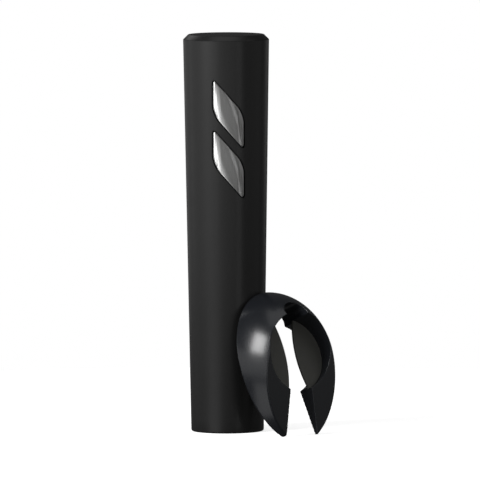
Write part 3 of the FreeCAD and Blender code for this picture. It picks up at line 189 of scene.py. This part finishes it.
def finish(name, colours, roughness, size, stretch=(1, 1, 1), bump=0.0, metallic=0.0, broad=18.0,
           pattern="ShaderNodeTexNoise", settings=None, shader=None):
    """Material with a fine pattern for grain and a broad one for handling.

    colours are the two ends of its colour, roughness the two ends of its gloss, size the fine
    pattern's real size in mm, stretch how many times finer it is along each axis, bump its depth
    in mm and broad the size in mm of the slow changes across the piece.
    """
    made = bpy.data.materials.new(name)
    made.use_nodes = True
    tree = made.node_tree
    principled = tree.nodes["Principled BSDF"]
    principled.inputs["Metallic"].default_value = metallic
    for key, value in (shader or {}).items():
        principled.inputs[key].default_value = value
    place = add_node(tree, "ShaderNodeTexCoord").outputs["Object"]
    fine_scale = [part / (size * MM) for part in stretch]
    fine_place = add_node(tree, "ShaderNodeMapping", {"Scale": fine_scale}, {"Vector": place})
    fine = add_node(tree, pattern, {"Scale": 1.0, **(settings or {})},
                    {"Vector": fine_place.outputs[0]})
    factor = fine.outputs["Fac" if "Fac" in fine.outputs else "Distance"]
    slow = add_node(tree, "ShaderNodeTexNoise", {"Scale": 1 / (broad * MM), "Detail": 2.0},
                    {"Vector": place})
    # A mix node's inputs by number: its factor is 0, two numbers are 2 and 3, two colours 6 and 7
    both = add_node(tree, "ShaderNodeMix", {"data_type": "FLOAT", 0: SLOW_SHARE},
                    {2: factor, 3: slow.outputs["Fac"]})
    spread = add_node(tree, "ShaderNodeMapRange",
                      {"From Min": MIX_LOW, "From Max": MIX_HIGH,
                       "To Min": roughness[0], "To Max": roughness[1]},
                      {"Value": both.outputs[0]})
    tree.links.new(spread.outputs["Result"], principled.inputs["Roughness"])
    tint = add_node(tree, "ShaderNodeMix",
                    {"data_type": "RGBA", 6: (*colours[0], 1), 7: (*colours[1], 1)},
                    {0: both.outputs[0]})
    tree.links.new(tint.outputs[2], principled.inputs["Base Color"])
    if bump:
        relief = add_node(tree, "ShaderNodeBump",
                          {"Strength": BUMP_STRENGTH, "Distance": bump * MM}, {"Height": factor})
        tree.links.new(relief.outputs["Normal"], principled.inputs["Normal"])
    return made


def shade(colour, share):
    """The colour, darker or lighter by a share."""
    return [min(1.0, part * share) for part in colour]


def tones(dark, light):
    """The two ends of a colour, from two sRGB hex values."""
    return linear(dark), linear(light)


def carried_finishes():
    """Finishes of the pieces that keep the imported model's shape, by material slot."""
    plates = bpy.context.scene.opener_colours.plates
    return {
        # ABS, moulded in black: even spark-eroded texture, no gloss
        "black_abs": finish(
            "moulded_black_abs", tones("17181a", "1d1e20"), (0.42, 0.55), 0.5, bump=0.02),
        # ABS, moulded in grey: the chassis and gearbox, a little glossier than the outside
        "grey_abs": finish(
            "moulded_grey_abs", tones("5d6062", "6a6d6f"), (0.38, 0.5), 0.6, bump=0.02),
        # Acetal, moulded natural white: waxy, a trace of light in it
        "white_pom": finish(
            "moulded_white_acetal", tones("dedcd4", "eceae3"), (0.32, 0.42), 0.8, bump=0.01,
            shader={"Subsurface Weight": 0.08, "Subsurface Scale": 0.002}),
        # Stainless steel, ground: fine grey scratches, drawn coarser than the real 0.02 mm
        "steel": finish(
            "ground_stainless_steel", tones("a9abad", "c4c6c8"), (0.22, 0.36), 1.2,
            stretch=(1, 1, 6), bump=0.004, metallic=1.0),
        # Spring steel with a non-stick coating: dark, low sheen, rubbed lighter in patches
        "coated_worm": finish(
            "non_stick_coated_steel", tones("2b2c2e", "3e4042"), (0.34, 0.5), 0.7,
            bump=0.01, metallic=0.6, broad=6.0),
        # Bronze, pressed and sintered: matt with open pores of about 0.2 mm
        "sintered": finish(
            "sintered_bronze", tones("7a5a33", "9a7442"), (0.5, 0.66), 0.25,
            bump=0.02, metallic=1.0, pattern="ShaderNodeTexVoronoi"),
        # Brass, cut on a machine: bright, with fine tool marks
        "brass": finish(
            "cut_brass", tones("b08d48", "cfab62"), (0.22, 0.34), 0.5,
            stretch=(1, 1, 4), bump=0.004, metallic=1.0),
        # Mild steel, zinc plated: bluish grey with a faint crystal pattern
        "zinc_can": finish(
            "zinc_plated_steel", tones("9ea4a9", "b9bec2"), (0.28, 0.42), 2.2,
            bump=0.004, metallic=1.0, pattern="ShaderNodeTexVoronoi"),
        # Ferrite, sintered: dark grey ceramic, slightly sugary
        "ferrite": finish(
            "sintered_ferrite", tones("2e2f31", "3b3c3e"), (0.5, 0.65), 0.3, bump=0.02),
        # Silicon steel, stamped and stacked: 0.5 mm sheets seen edge on
        "lamination": finish(
            "stacked_silicon_steel", tones("6f7275", "94979a"), (0.3, 0.45), 0.5,
            stretch=(0, 0, ONE_WAVE), bump=0.04, metallic=1.0, pattern="ShaderNodeTexWave",
            settings={"bands_direction": "Z"}),
        # Copper wire with clear enamel: 0.3 mm turns, glossy
        "copper": finish(
            "enamelled_copper_wire", tones("8a3f1e", "c26a38"), (0.2, 0.34), 0.3,
            stretch=(0.05, 0.05, ONE_WAVE), bump=0.08, metallic=1.0, pattern="ShaderNodeTexWave",
            settings={"bands_direction": "Z"}),
        # Spring steel, nickel plated: bright and slightly warm
        "nickel": finish(
            "nickel_plated_steel", tones("b6b2a8", "d0ccc2"), (0.18, 0.3), 0.8,
            bump=0.004, metallic=1.0),
        # Epoxy glass board: green solder mask over the weave, 0.5 mm threads
        "board": finish(
            "epoxy_glass_board", tones("0f4a2c", "14603a"), (0.24, 0.36), 0.5, bump=0.02,
            shader={"Coat Weight": 0.3, "Coat Roughness": 0.15}),
        # Epoxy, moulded round small parts: flat dark grey
        "chip": finish(
            "moulded_epoxy", tones("1f2022", "28292b"), (0.48, 0.6), 0.3, bump=0.01),
        # Nitrile rubber ring: soft black, faintly dusty
        "seal": finish(
            "nitrile_rubber", tones("131313", "1c1c1c"), (0.55, 0.7), 0.4, bump=0.01),
        # ABS, moulded in a spark-eroded tool: matt olive grey with a 0.2 mm grain, drawn at 0.3 mm
        "olive": finish(
            "matt_moulded_abs", (shade(plates, 0.88), shade(plates, 1.1)), (0.55, 0.68), 0.3,
            bump=0.03),
        # PVC, heat-shrunk round a dry cell: satin dark grey, with a thin clear gloss over it
        "cell_jacket": finish(
            "heat_shrunk_sleeve", tones("26282b", "2e3034"), (0.26, 0.34), 0.6, bump=0.004,
            shader={"Coat Weight": 0.4, "Coat Roughness": 0.1}),
    }


def soft_touch_lacquer():
    """Polyurethane soft-touch lacquer over ABS: a smooth matt black that spreads each light wide.

    The spray's 0.1 mm dimples are drawn at 0.35 mm so that they show.
    """
    body = bpy.context.scene.opener_colours.body
    return finish("soft_touch_lacquer", (shade(body, 0.92), shade(body, 1.1)), (0.34, 0.42), 0.35,
                  bump=0.012, broad=26.0,
                  shader={"Specular IOR Level": 0.42, "Coat Weight": 0.06, "Coat Roughness": 0.12})


def brushed_stainless_steel():
    """Stainless steel, brushed with a belt: level hairlines that draw each light up and down.

    The hairlines are about 0.15 mm apart, drawn at 0.45 mm so that they show, and 12 mm long.
    """
    steel = bpy.context.scene.opener_colours.steel
    made = finish("brushed_stainless_steel", (shade(steel, 0.82), shade(steel, 1.1)), (0.36, 0.44),
                  0.45, stretch=(0.02, 0.02, 1), bump=0.003, metallic=1.0, broad=9.0,
                  settings={"Detail": 4.0, "Roughness": 0.7},
                  shader={"Anisotropic": 0.95, "Anisotropic Rotation": 0.25})
    tree = made.node_tree
    tangent = add_node(tree, "ShaderNodeTangent", {"direction_type": "RADIAL", "axis": "Z"})
    tree.links.new(tangent.outputs[0], tree.nodes["Principled BSDF"].inputs["Tangent"])
    return made


def gloss_moulded_abs():
    """ABS, moulded in a polished tool: blue-black, a soft-edged shine and faint flow marks."""
    cutter = bpy.context.scene.opener_colours.cutter
    return finish("gloss_moulded_abs", (shade(cutter, 0.9), shade(cutter, 1.15)), (0.22, 0.27), 1.6,
                  bump=0.0015, broad=14.0, shader={"Coat Weight": 0.12, "Coat Roughness": 0.16})


def moulded_mouth_abs():
    """ABS, moulded in black: the base ring and bottle guide, rubbed a little smooth by bottles."""
    return finish("moulded_mouth_abs", tones("17181a", "1d1e20"), (0.4, 0.52), 0.5, bump=0.02)


def seamless_paper():
    """Seamless background paper, evenly lit: a plain pale floor that glows by itself."""
    floor = bpy.context.scene.opener_colours.floor
    return finish("seamless_paper", (shade(floor, 0.98), floor), (0.8, 0.9), 2.0,
                  shader={"Emission Color": (1, 1, 1, 1), "Emission Strength": 0.78})


# ---------------------------------------------------------------- mesh helpers
def lathe(outline, steps=192):
    """Closed outline of (radius, height) in mm, spun round the upright axis."""
    mesh = bmesh.new()
    points = [mesh.verts.new((radius * MM, 0, height * MM)) for radius, height in outline]
    edges = [mesh.edges.new((points[i - 1], points[i])) for i in range(len(points))]
    bmesh.ops.spin(mesh, geom=points + edges, cent=(0, 0, 0), axis=(0, 0, 1), dvec=(0, 0, 0),
                   angle=math.tau, steps=steps, use_merge=True, use_duplicate=False)
    bmesh.ops.remove_doubles(mesh, verts=mesh.verts, dist=TOUCH)
    bmesh.ops.dissolve_degenerate(mesh, edges=mesh.edges, dist=TOUCH)
    bmesh.ops.recalc_face_normals(mesh, faces=mesh.faces)
    return mesh


def soften(mesh, width, segments, wanted):
    """Rounds the edges that the test wants, width in mm."""
    edges = [edge for edge in mesh.edges if len(edge.link_faces) == 2 and wanted(edge)]
    bmesh.ops.bevel(mesh, geom=edges, offset=width * MM, offset_type="OFFSET", affect="EDGES",
                    segments=segments, profile=0.5, material=-1, clamp_overlap=True)


def ring_edge(low, high, least_radius=0.0):
    """Test for the level edges between two heights in mm, outside a radius."""
    def wanted(edge):
        a, b = (vert.co for vert in edge.verts)
        level = abs(a.z - b.z) < 10 * TOUCH
        return level and low <= a.z / MM <= high and a.xy.length / MM > least_radius
    return wanted


def pull(mesh, faces, move):
    """Copies faces a distance away and closes the sides between them."""
    made = bmesh.ops.extrude_face_region(mesh, geom=faces, use_keep_orig=True)
    far = [part for part in made["geom"] if isinstance(part, bmesh.types.BMVert)]
    bmesh.ops.translate(mesh, verts=far, vec=move)


def slice_at(mesh, place, normal, near, **options):
    """Slices a whole mesh with a plane."""
    everything = mesh.verts[:] + mesh.edges[:] + mesh.faces[:]
    return bmesh.ops.bisect_plane(mesh, geom=everything, dist=near, plane_co=place,
                                  plane_no=normal, **options)


def to_metres(mesh, move):
    """Moves a mesh that is in mm, brings it to metres and turns its faces outward."""
    bmesh.ops.translate(mesh, verts=mesh.verts, vec=move)
    bmesh.ops.scale(mesh, verts=mesh.verts, vec=(MM, MM, MM))
    bmesh.ops.recalc_face_normals(mesh, faces=mesh.faces)


def make_object(name, mesh):
    """Object of a finished mesh, smooth except over its creases."""
    data = bpy.data.meshes.new(name)
    mesh.to_mesh(data)
    mesh.free()
    data.shade_smooth()
    data.set_sharp_from_angle(angle=CREASE)
    made = bpy.data.objects.new(name, data)
    bpy.context.scene.collection.objects.link(made)
    return made


def piece(made, material, body, slot, *nodes):
    """Gives a finished object its finish, the body it rides on and the nodes that it stands for."""
    made.data.materials.clear()
    made.data.materials.append(material)
    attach(made, body)
    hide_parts(*nodes)
    return made


def apply_modifiers(made):
    """Replaces an object's mesh with what its modifiers make of it."""
    evaluated = made.evaluated_get(bpy.context.evaluated_depsgraph_get())
    data = bpy.data.meshes.new_from_object(evaluated)
    made.modifiers.clear()
    made.data = data


def cut_away(made, tools):
    """Cuts temporary solids out of an object."""
    for tool in tools:
        modifier = made.modifiers.new("cut", "BOOLEAN")
        modifier.operation = "DIFFERENCE"
        modifier.solver = "EXACT"
        modifier.object = tool
    apply_modifiers(made)
    for tool in tools:
        bpy.data.objects.remove(tool)


def body_radius(height):
    """Outer radius of the tapered body at a height, all in mm."""
    base = bpy.context.scene.opener_sizes.base_radius / MM
    return base + (TOP_RADIUS - base) * height / SHOULDER


def leaf(grow):
    """Flat face in a button's outline, grown by a distance in mm, facing the front, in mm."""
    sizes = bpy.context.scene.opener_sizes
    width, height = sizes.button_half_width / MM, sizes.button_half_height / MM
    side = width + grow
    lean = height * grow / (2 * width)
    lift = grow * math.hypot(1, height / (2 * width))
    mesh = bmesh.new()
    corners = [(-side, height + lean + lift), (-side, lean - lift),
               (side, -height - lean - lift), (side, lift - lean)]
    verts = [mesh.verts.new((x, 0, z)) for x, z in corners]
    mesh.faces.new(verts)
    half_tip = math.atan2(2 * width, height) / 2
    tip = (LEAF_TIP_RADIUS + grow) / math.tan(half_tip)
    side_bend = (LEAF_SIDE_RADIUS + grow) * math.tan(half_tip)
    for ends, offset, segments in ((verts[0::2], tip, 8), (verts[1::2], side_bend, 20)):
        bmesh.ops.bevel(mesh, geom=ends, offset=offset, offset_type="OFFSET", affect="VERTICES",
                        segments=segments, profile=0.5, material=-1)
    return mesh


def leaf_tool(height):
    """Temporary solid that cuts a button's opening through the front wall at a height."""
    inside, outside = -15, -35
    mesh = leaf(bpy.context.scene.opener_sizes.button_gap / MM)
    pull(mesh, mesh.faces[:], (0, outside - inside, 0))
    to_metres(mesh, (0, inside, height))
    return make_object("opening", mesh)


# ---------------------------------------------------------------- body
class OPENER_OT_shell(bpy.types.Operator):
    """Make the tapered outer shell with its two leaf-shaped openings"""

    bl_idname = "wine_opener.shell"
    bl_label = "Outer Shell"

    def execute(self, context):
        sizes = context.scene.opener_sizes
        wall = sizes.shell_wall / MM
        rings = 32
        heights = [SHOULDER * i / rings for i in range(rings + 1)]
        outer = [(body_radius(z), z) for z in heights]
        inner = [(body_radius(z) - wall, z) for z in reversed(heights)]
        mesh = lathe(outer + inner, 256)
        soften(mesh, sizes.base_edge / MM, 6, ring_edge(-0.1, 0.1, body_radius(0) - wall / 2))
        made = make_object("outer_shell_lacquered", mesh)
        cut_away(made, [leaf_tool(height) for height in BUTTON_HEIGHTS.values()])
        made.data.set_sharp_from_angle(angle=CREASE)
        piece(made, soft_touch_lacquer(), "housing", "soft_black", "outer_shell")
        return {"FINISHED"}


class OPENER_OT_cap(bpy.types.Operator):
    """Make the chamfered cap with its spigot and the column that holds the cells down"""

    bl_idname = "wine_opener.cap"
    bl_label = "Cap"

    def execute(self, context):
        sizes = context.scene.opener_sizes
        chamfer, edge, seam_edge = sizes.cap_chamfer / MM, sizes.cap_edge / MM, 0.3
        spigot_depth, spigot_gap, spigot_wall, column = 7.0, 0.3, 2.6, 19.0
        foot = SHOULDER - spigot_depth
        spigot = body_radius(foot) - sizes.shell_wall / MM - spigot_gap
        groove = SHOULDER - spigot_depth / 2
        outline = [
            # Flat top, in three rings, and chamfer
            (0, CAP_TOP), (8, CAP_TOP), (16, CAP_TOP), (TOP_RADIUS - chamfer, CAP_TOP),
            (TOP_RADIUS, SHOULDER),
            # Spigot, with a round groove for the seal half way down
            (spigot, SHOULDER), (spigot, groove + 0.8), (spigot - 0.7, groove + 0.5),
            (spigot - 0.8, groove), (spigot - 0.7, groove - 0.5), (spigot, groove - 0.8),
            (spigot, foot), (spigot - spigot_wall, foot), (spigot - spigot_wall, SHOULDER),
            # Column down to the cells
            (column, SHOULDER), (column, CAP_LOW.z / MM), (0, CAP_LOW.z / MM),
        ]
        mesh = lathe(outline, 256)
        soften(mesh, edge, 4, ring_edge(CAP_TOP - 0.1, CAP_TOP + 0.1, TOP_RADIUS - chamfer - 1))
        soften(mesh, seam_edge, 3, ring_edge(SHOULDER - 0.1, SHOULDER + 0.1, TOP_RADIUS - 0.1))
        made = make_object("top_cap_lacquered", mesh)
        piece(made, soft_touch_lacquer(), "cap", "cap_black", "top_cap")
        return {"FINISHED"}


class OPENER_OT_base(bpy.types.Operator):
    """Make the base ring and the guide that a bottle's neck slides into"""

    bl_idname = "wine_opener.base"
    bl_label = "Base Ring and Bottle Guide"

    def execute(self, context):
        ring_low, ring_high = (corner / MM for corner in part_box("base_ring"))
        guide_low, guide_high = (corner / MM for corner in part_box("bottle_guide"))
        bore, lead_in, ledge, ledge_depth, edge = 15.5, 1, 13.0, 2, 0.25
        ledge_foot = guide_high.z - ledge_depth
        material = moulded_mouth_abs()
        mesh = lathe([(bore + lead_in, ring_low.z), (ring_high.x, ring_low.z),
                      (ring_high.x, ring_high.z), (bore, ring_high.z),
                      (bore, ring_low.z + lead_in)])
        soften(mesh, edge, 3, ring_edge(ring_low.z - 0.1, ring_low.z + lead_in + 0.1))
        piece(make_object("base_ring_moulded", mesh), material,
              "housing", "black_abs", "base_ring")
        mesh = lathe([(bore, guide_low.z), (guide_high.x, guide_low.z),
                      (guide_high.x, guide_high.z), (ledge, guide_high.z), (ledge, ledge_foot),
                      (bore, ledge_foot)])
        soften(mesh, edge, 3, ring_edge(ledge_foot - 0.1, guide_high.z + 0.1))
        piece(make_object("bottle_guide_moulded", mesh), material,
              "housing", "black_abs", "bottle_guide")
        return {"FINISHED"}


class OPENER_OT_buttons(bpy.types.Operator):
    """Make the two bevelled steel buttons, curved to follow the body"""

    bl_idname = "wine_opener.buttons"
    bl_label = "Buttons"

    def execute(self, context):
        sizes = context.scene.opener_sizes
        bevel = sizes.button_bevel / MM
        material = brushed_stainless_steel()
        for name, height in BUTTON_HEIGHTS.items():
            mesh = leaf(0)
            width = int(sizes.button_half_width / MM)
            for i in range(-2 * width + 1, 2 * width):
                slice_at(mesh, (i / 2, 0, 0), (1, 0, 0), 10 * TOUCH)
            bmesh.ops.inset_region(mesh, faces=mesh.faces[:], thickness=bevel, use_boundary=True,
                                   use_even_offset=True)
            rim = {vert for vert in mesh.verts if vert.is_boundary}
            for vert in mesh.verts:
                drop = BUTTON_RIM_DROP if vert in rim else 0
                radius = body_radius(vert.co.z + height) - drop
                vert.co.y = -math.sqrt(radius ** 2 - vert.co.x ** 2)
            pull(mesh, mesh.faces[:], (0, BUTTON_THICKNESS, 0))
            to_metres(mesh, (0, 0, height))
            piece(make_object(name + "_brushed", mesh), material, name, "brushed", name)
        return {"FINISHED"}


# ---------------------------------------------------------------- foil cutter
def cutter_matrix():
    """From the foil cutter's own axes in mm to the scene in metres."""
    across = Vector((math.cos(CUTTER_YAW), math.sin(CUTTER_YAW), 0))
    out = Vector((math.sin(CUTTER_YAW), -math.cos(CUTTER_YAW), 0))
    up = Vector((0, 0, 1))
    along = up * math.cos(CUTTER_LEAN) - out * math.sin(CUTTER_LEAN)
    front = out * math.cos(CUTTER_LEAN) + up * math.sin(CUTTER_LEAN)
    turn = Matrix((across, along, front)).transposed().to_4x4()
    return Matrix.Scale(MM, 4) @ Matrix.Translation(CUTTER_ORIGIN) @ turn


def cutter_front(u, v):
    """Height of the cutter's front over a place on its back, with a soft blend into the slope."""
    reach = CROWN_REACH if v > TIP_TO_WIDE else TAIL_REACH
    share = (u * DOME_FULL / HALF_WIDTH) ** 2 + ((v - TIP_TO_WIDE) * DOME_FULL / reach) ** 2
    dome = DOME_HEIGHT * math.sqrt(max(0.0, 1 - share)) - DOME_SINK
    slope = TIP_THICKNESS + SLOPE_RISE * v
    mix = min(1.0, max(0.0, 0.5 + (slope - dome) / (2 * SLOPE_BLEND)))
    return slope + (dome - slope) * mix - SLOPE_BLEND * mix * (1 - mix)


def cutter_dome():
    """Dome of the cutter before its openings, in its own axes."""
    near, off_back = 1e-5, 1e-4
    mesh = bmesh.new()
    bmesh.ops.create_uvsphere(mesh, u_segments=256, v_segments=256, radius=1.0)
    upper = [vert for vert in mesh.verts if vert.co.y > near / 10]
    lower = [vert for vert in mesh.verts if vert.co.y <= near / 10]
    for verts, reach in ((upper, CROWN_REACH), (lower, TAIL_REACH)):
        bmesh.ops.scale(mesh, verts=verts,
                        vec=(HALF_WIDTH / DOME_FULL, reach / DOME_FULL, DOME_HEIGHT))
    bmesh.ops.translate(mesh, verts=mesh.verts, vec=(0, TIP_TO_WIDE, -DOME_SINK))
    for normal in ((0, 0, -1), (0, -1, 0)):
        cut = slice_at(mesh, (0, 0, 0), normal, near, clear_outer=True)
        rim = [part for part in cut["geom_cut"] if isinstance(part, bmesh.types.BMEdge)]
        bmesh.ops.edgeloop_fill(mesh, edges=rim)
    for vert in mesh.verts:
        if vert.co.z > off_back:
            vert.co.z = min(vert.co.z, cutter_front(vert.co.x, vert.co.y))
    bmesh.ops.recalc_face_normals(mesh, faces=mesh.faces)
    return mesh


def drum(radius, low, high, v=RECESS_V, segments=192):
    """Temporary round tool that stands on the cutter's back."""
    mesh = bmesh.new()
    bmesh.ops.create_cone(mesh, cap_ends=True, segments=segments, radius1=radius,
                          radius2=radius, depth=high - low)
    bmesh.ops.translate(mesh, verts=mesh.verts, vec=(0, v, (low + high) / 2))
    return make_object("tool", mesh)


def wedge(corners, low, high):
    """Temporary straight-sided tool with these (u, v) corners."""
    mesh = bmesh.new()
    face = mesh.faces.new([mesh.verts.new((u, v, low)) for u, v in corners])
    pull(mesh, [face], (0, 0, high - low))
    bmesh.ops.recalc_face_normals(mesh, faces=mesh.faces)
    return make_object("tool", mesh)


class OPENER_OT_cutter_body(bpy.types.Operator):
    """Make the foil cutter's horseshoe body with its recess, channel and throat"""

    bl_idname = "wine_opener.cutter_body"
    bl_label = "Foil Cutter Body"

    def execute(self, context):
        voxel = context.scene.opener_sizes.cutter_voxel / MM
        channel, throat, mouth = CHANNEL_HALF_WIDTH, THROAT_V, MOUTH_HALF_WIDTH
        channel_end = CHANNEL_TOP - channel
        made = make_object("cutter_body_polished", cutter_dome())
        cut_away(made, [
            # Recess for the wheels, the window behind it, then the channel's round end
            drum(RECESS_RADIUS, RECESS_FLOOR, ABOVE),
            drum(WINDOW_RADIUS, BELOW, WINDOW_TOP),
            drum(channel, BELOW, ABOVE, channel_end, 96),
            # Straight channel, and the mouth that widens from the throat to the tips
            wedge([(-channel, throat - 1), (channel, throat - 1), (channel, channel_end),
                   (-channel, channel_end)], BELOW, ABOVE),
            wedge([(-channel, throat + 0.5), (-channel, throat), (-mouth, 0), (-mouth, BELOW),
                   (mouth, BELOW), (mouth, 0), (channel, throat), (channel, throat + 0.5)],
                  BELOW, ABOVE),
        ])
        remesh = made.modifiers.new("remesh", "REMESH")
        remesh.mode = "VOXEL"
        remesh.voxel_size = voxel
        relax = made.modifiers.new("relax", "SMOOTH")
        relax.factor = 0.5
        relax.iterations = 4
        apply_modifiers(made)
        mesh = bmesh.new()
        mesh.from_mesh(made.data)
        mesh.normal_update()
        # Vertices near the true front, on faces that look forward, go exactly onto it
        forward = 0.3
        for vert in mesh.verts:
            front = cutter_front(vert.co.x, vert.co.y)
            if vert.normal.z > forward and abs(vert.co.z - front) < voxel / 2:
                vert.co.z = front
        bmesh.ops.transform(mesh, matrix=cutter_matrix(), verts=mesh.verts)
        mesh.to_mesh(made.data)
        mesh.free()
        made.data.shade_smooth()
        piece(made, gloss_moulded_abs(), "foil_cutter", "gloss_black", "cutter_body")
        return {"FINISHED"}


# ---------------------------------------------------------------- carried-over pieces
class OPENER_OT_carried(bpy.types.Operator):
    """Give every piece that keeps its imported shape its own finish"""

    bl_idname = "wine_opener.carried"
    bl_label = "Works and Foil Cutter Plates"

    def execute(self, context):
        finishes = carried_finishes()
        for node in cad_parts.values():
            slot = node.data.materials[0].name.split(".")[0]
            if slot in finishes:
                for place in node.material_slots:
                    place.link = "OBJECT"
                    place.material = finishes[slot]
        return {"FINISHED"}


# ---------------------------------------------------------------- stage
# Name, azimuth and elevation in degrees, distance and size in metres, and watts
LIGHTS = (
    ("key_box", -57, 27, 1.2, (0.42, 0.5), 9.4),
    ("left_wall", -74, 2, 1.0, (2.1, 0.36), 1.6),
    ("back_left_card", -140, 2, 1.0, (1.0, 0.36), 0.3),
    ("low_card", -44, -30, 1.0, (0.6, 0.6), 0.95),
    ("front_fill", -8, 5, 0.6, (0.62, 0.31), 0.32),
    ("right_strip", 32, 4, 1.2, (0.3, 0.9), 0.7),
    ("right_wall", 80, 8, 1.6, (1.6, 0.9), 0.95),
    ("right_high_card", 74, 42, 1.4, (0.8, 0.6), 0.9),
    ("top_box", -15, 80, 1.2, (0.9, 0.9), 1.7),
    ("back_high_card", -146, 36, 1.3, (0.7, 0.5), 0.8),
    ("rim_card", 140, 4, 1.2, (0.4, 0.4), 0.12),
)
LIGHTS_MIDDLE = Vector((0.01, 0, 0.13))
FLOOR_RADIUS, FLOOR_BORDER = 0.5, 0.15

# Strength of the white backdrop as a light, and as the camera sees it
WORLD_LIGHT, WORLD_SEEN = 0.06, 1.0

# The camera's angles in degrees, its distance and farthest sight in metres and its sensor in mm
CAMERA_AZIMUTH, CAMERA_ELEVATION, CAMERA_ROLL = -3, 4.1, 0.22
CAMERA_DISTANCE = 7.0
CAMERA_SIGHT = 100.0
CAMERA_SENSOR = 36.0
# Width of the square view at the opener, and how far its middle is right of and above the base's
VIEW_WIDTH = 317.184 * MM
VIEW_RIGHT, VIEW_ABOVE = 8.19392 * MM, 125.91544 * MM


def direction(azimuth, elevation):
    """Unit vector at two angles in degrees, azimuth 0 in front and positive to the right."""
    a, e = math.radians(azimuth), math.radians(elevation)
    return Vector((math.sin(a) * math.cos(e), -math.cos(a) * math.cos(e), math.sin(e)))


class OPENER_OT_stage(bpy.types.Operator):
    """Make the studio floor, lights, backdrop and camera"""

    bl_idname = "wine_opener.stage"
    bl_label = "Studio"

    def execute(self, context):
        scene = context.scene
        scene.view_settings.view_transform = "Standard"
        self.add_floor()
        for light in LIGHTS:
            self.add_light(scene, *light)
        self.add_world(scene)
        self.add_camera(scene)
        return {"FINISHED"}

    def add_floor(self):
        """Round pale floor that the camera sees and that neither lights nor shades the opener."""
        mesh = bmesh.new()
        bmesh.ops.create_circle(mesh, cap_ends=True, segments=96, radius=FLOOR_RADIUS)
        bmesh.ops.inset_region(mesh, faces=mesh.faces[:], thickness=FLOOR_BORDER)
        floor = make_object("studio_floor", mesh)
        floor.data.materials.append(seamless_paper())
        floor.visible_glossy = False
        floor.visible_diffuse = False
        floor.visible_shadow = False

    def add_light(self, scene, name, azimuth, elevation, distance, size, power):
        """Soft box that faces the middle of the opener and its foil cutter."""
        data = bpy.data.lights.new(name, "AREA")
        data.shape = "RECTANGLE"
        data.size, data.size_y = size
        data.energy = power
        light = bpy.data.objects.new(name, data)
        scene.collection.objects.link(light)
        towards = direction(azimuth, elevation)
        light.location = LIGHTS_MIDDLE + towards * distance
        light.rotation_euler = towards.to_track_quat("Z", "Y").to_euler()
        light.visible_camera = False

    def add_world(self, scene):
        """White backdrop, bright to the camera and dim as a light."""
        world = bpy.data.worlds.new("studio")
        world.use_nodes = True
        tree = world.node_tree
        background = tree.nodes["Background"]
        seen = add_node(tree, "ShaderNodeLightPath")
        strength = add_node(tree, "ShaderNodeMapRange",
                            {"To Min": WORLD_LIGHT, "To Max": WORLD_SEEN},
                            {"Value": seen.outputs["Is Camera Ray"]})
        background.inputs["Color"].default_value = (1, 1, 1, 1)
        tree.links.new(strength.outputs["Result"], background.inputs["Strength"])
        scene.world = world

    def add_camera(self, scene):
        """Long lens a little left of the front and above the floor."""
        azimuth, roll = math.radians(CAMERA_AZIMUTH), math.radians(CAMERA_ROLL)
        towards = direction(CAMERA_AZIMUTH, CAMERA_ELEVATION)
        level = Vector((math.cos(azimuth), math.sin(azimuth), 0))
        upright = towards.cross(level)
        right = level * math.cos(roll) - upright * math.sin(roll)
        up = upright * math.cos(roll) + level * math.sin(roll)
        data = bpy.data.cameras.new("studio_camera")
        data.sensor_width = CAMERA_SENSOR
        data.lens = CAMERA_SENSOR * CAMERA_DISTANCE / VIEW_WIDTH
        data.clip_end = CAMERA_SIGHT
        camera = bpy.data.objects.new("studio_camera", data)
        scene.collection.objects.link(camera)
        middle = right * VIEW_RIGHT + up * VIEW_ABOVE
        turn = Matrix((right, up, towards)).transposed().to_4x4()
        camera.matrix_world = Matrix.Translation(middle + towards * CAMERA_DISTANCE) @ turn
        scene.camera = camera


# ---------------------------------------------------------------- add-on
STEPS = (OPENER_OT_shell, OPENER_OT_cap, OPENER_OT_base, OPENER_OT_buttons,
         OPENER_OT_cutter_body, OPENER_OT_carried, OPENER_OT_stage)


class OPENER_PT_sidebar(bpy.types.Panel):
    """Lists the wine opener's pieces, sizes and colours"""

    bl_label = "Wine Opener"
    bl_space_type = "VIEW_3D"
    bl_region_type = "UI"
    bl_category = "Wine Opener"

    def draw(self, context):
        for step in STEPS:
            self.layout.operator(step.bl_idname)
        for group in (context.scene.opener_sizes, context.scene.opener_colours):
            for name in group.bl_rna.properties.keys():
                if name not in ("rna_type", "name"):
                    self.layout.prop(group, name)


CLASSES = (OpenerSizes, OpenerColours, *STEPS, OPENER_PT_sidebar)


def register():
    for each in CLASSES:
        bpy.utils.register_class(each)
    bpy.types.Scene.opener_sizes = bpy.props.PointerProperty(type=OpenerSizes)
    bpy.types.Scene.opener_colours = bpy.props.PointerProperty(type=OpenerColours)


def unregister():
    del bpy.types.Scene.opener_colours
    del bpy.types.Scene.opener_sizes
    for each in reversed(CLASSES):
        bpy.utils.unregister_class(each)


def main():
    register()
    bpy.ops.wine_opener.shell()
    bpy.ops.wine_opener.cap()
    bpy.ops.wine_opener.base()
    bpy.ops.wine_opener.buttons()
    bpy.ops.wine_opener.cutter_body()
    bpy.ops.wine_opener.carried()
    bpy.ops.wine_opener.stage()


if __name__ == "__main__":
    main()
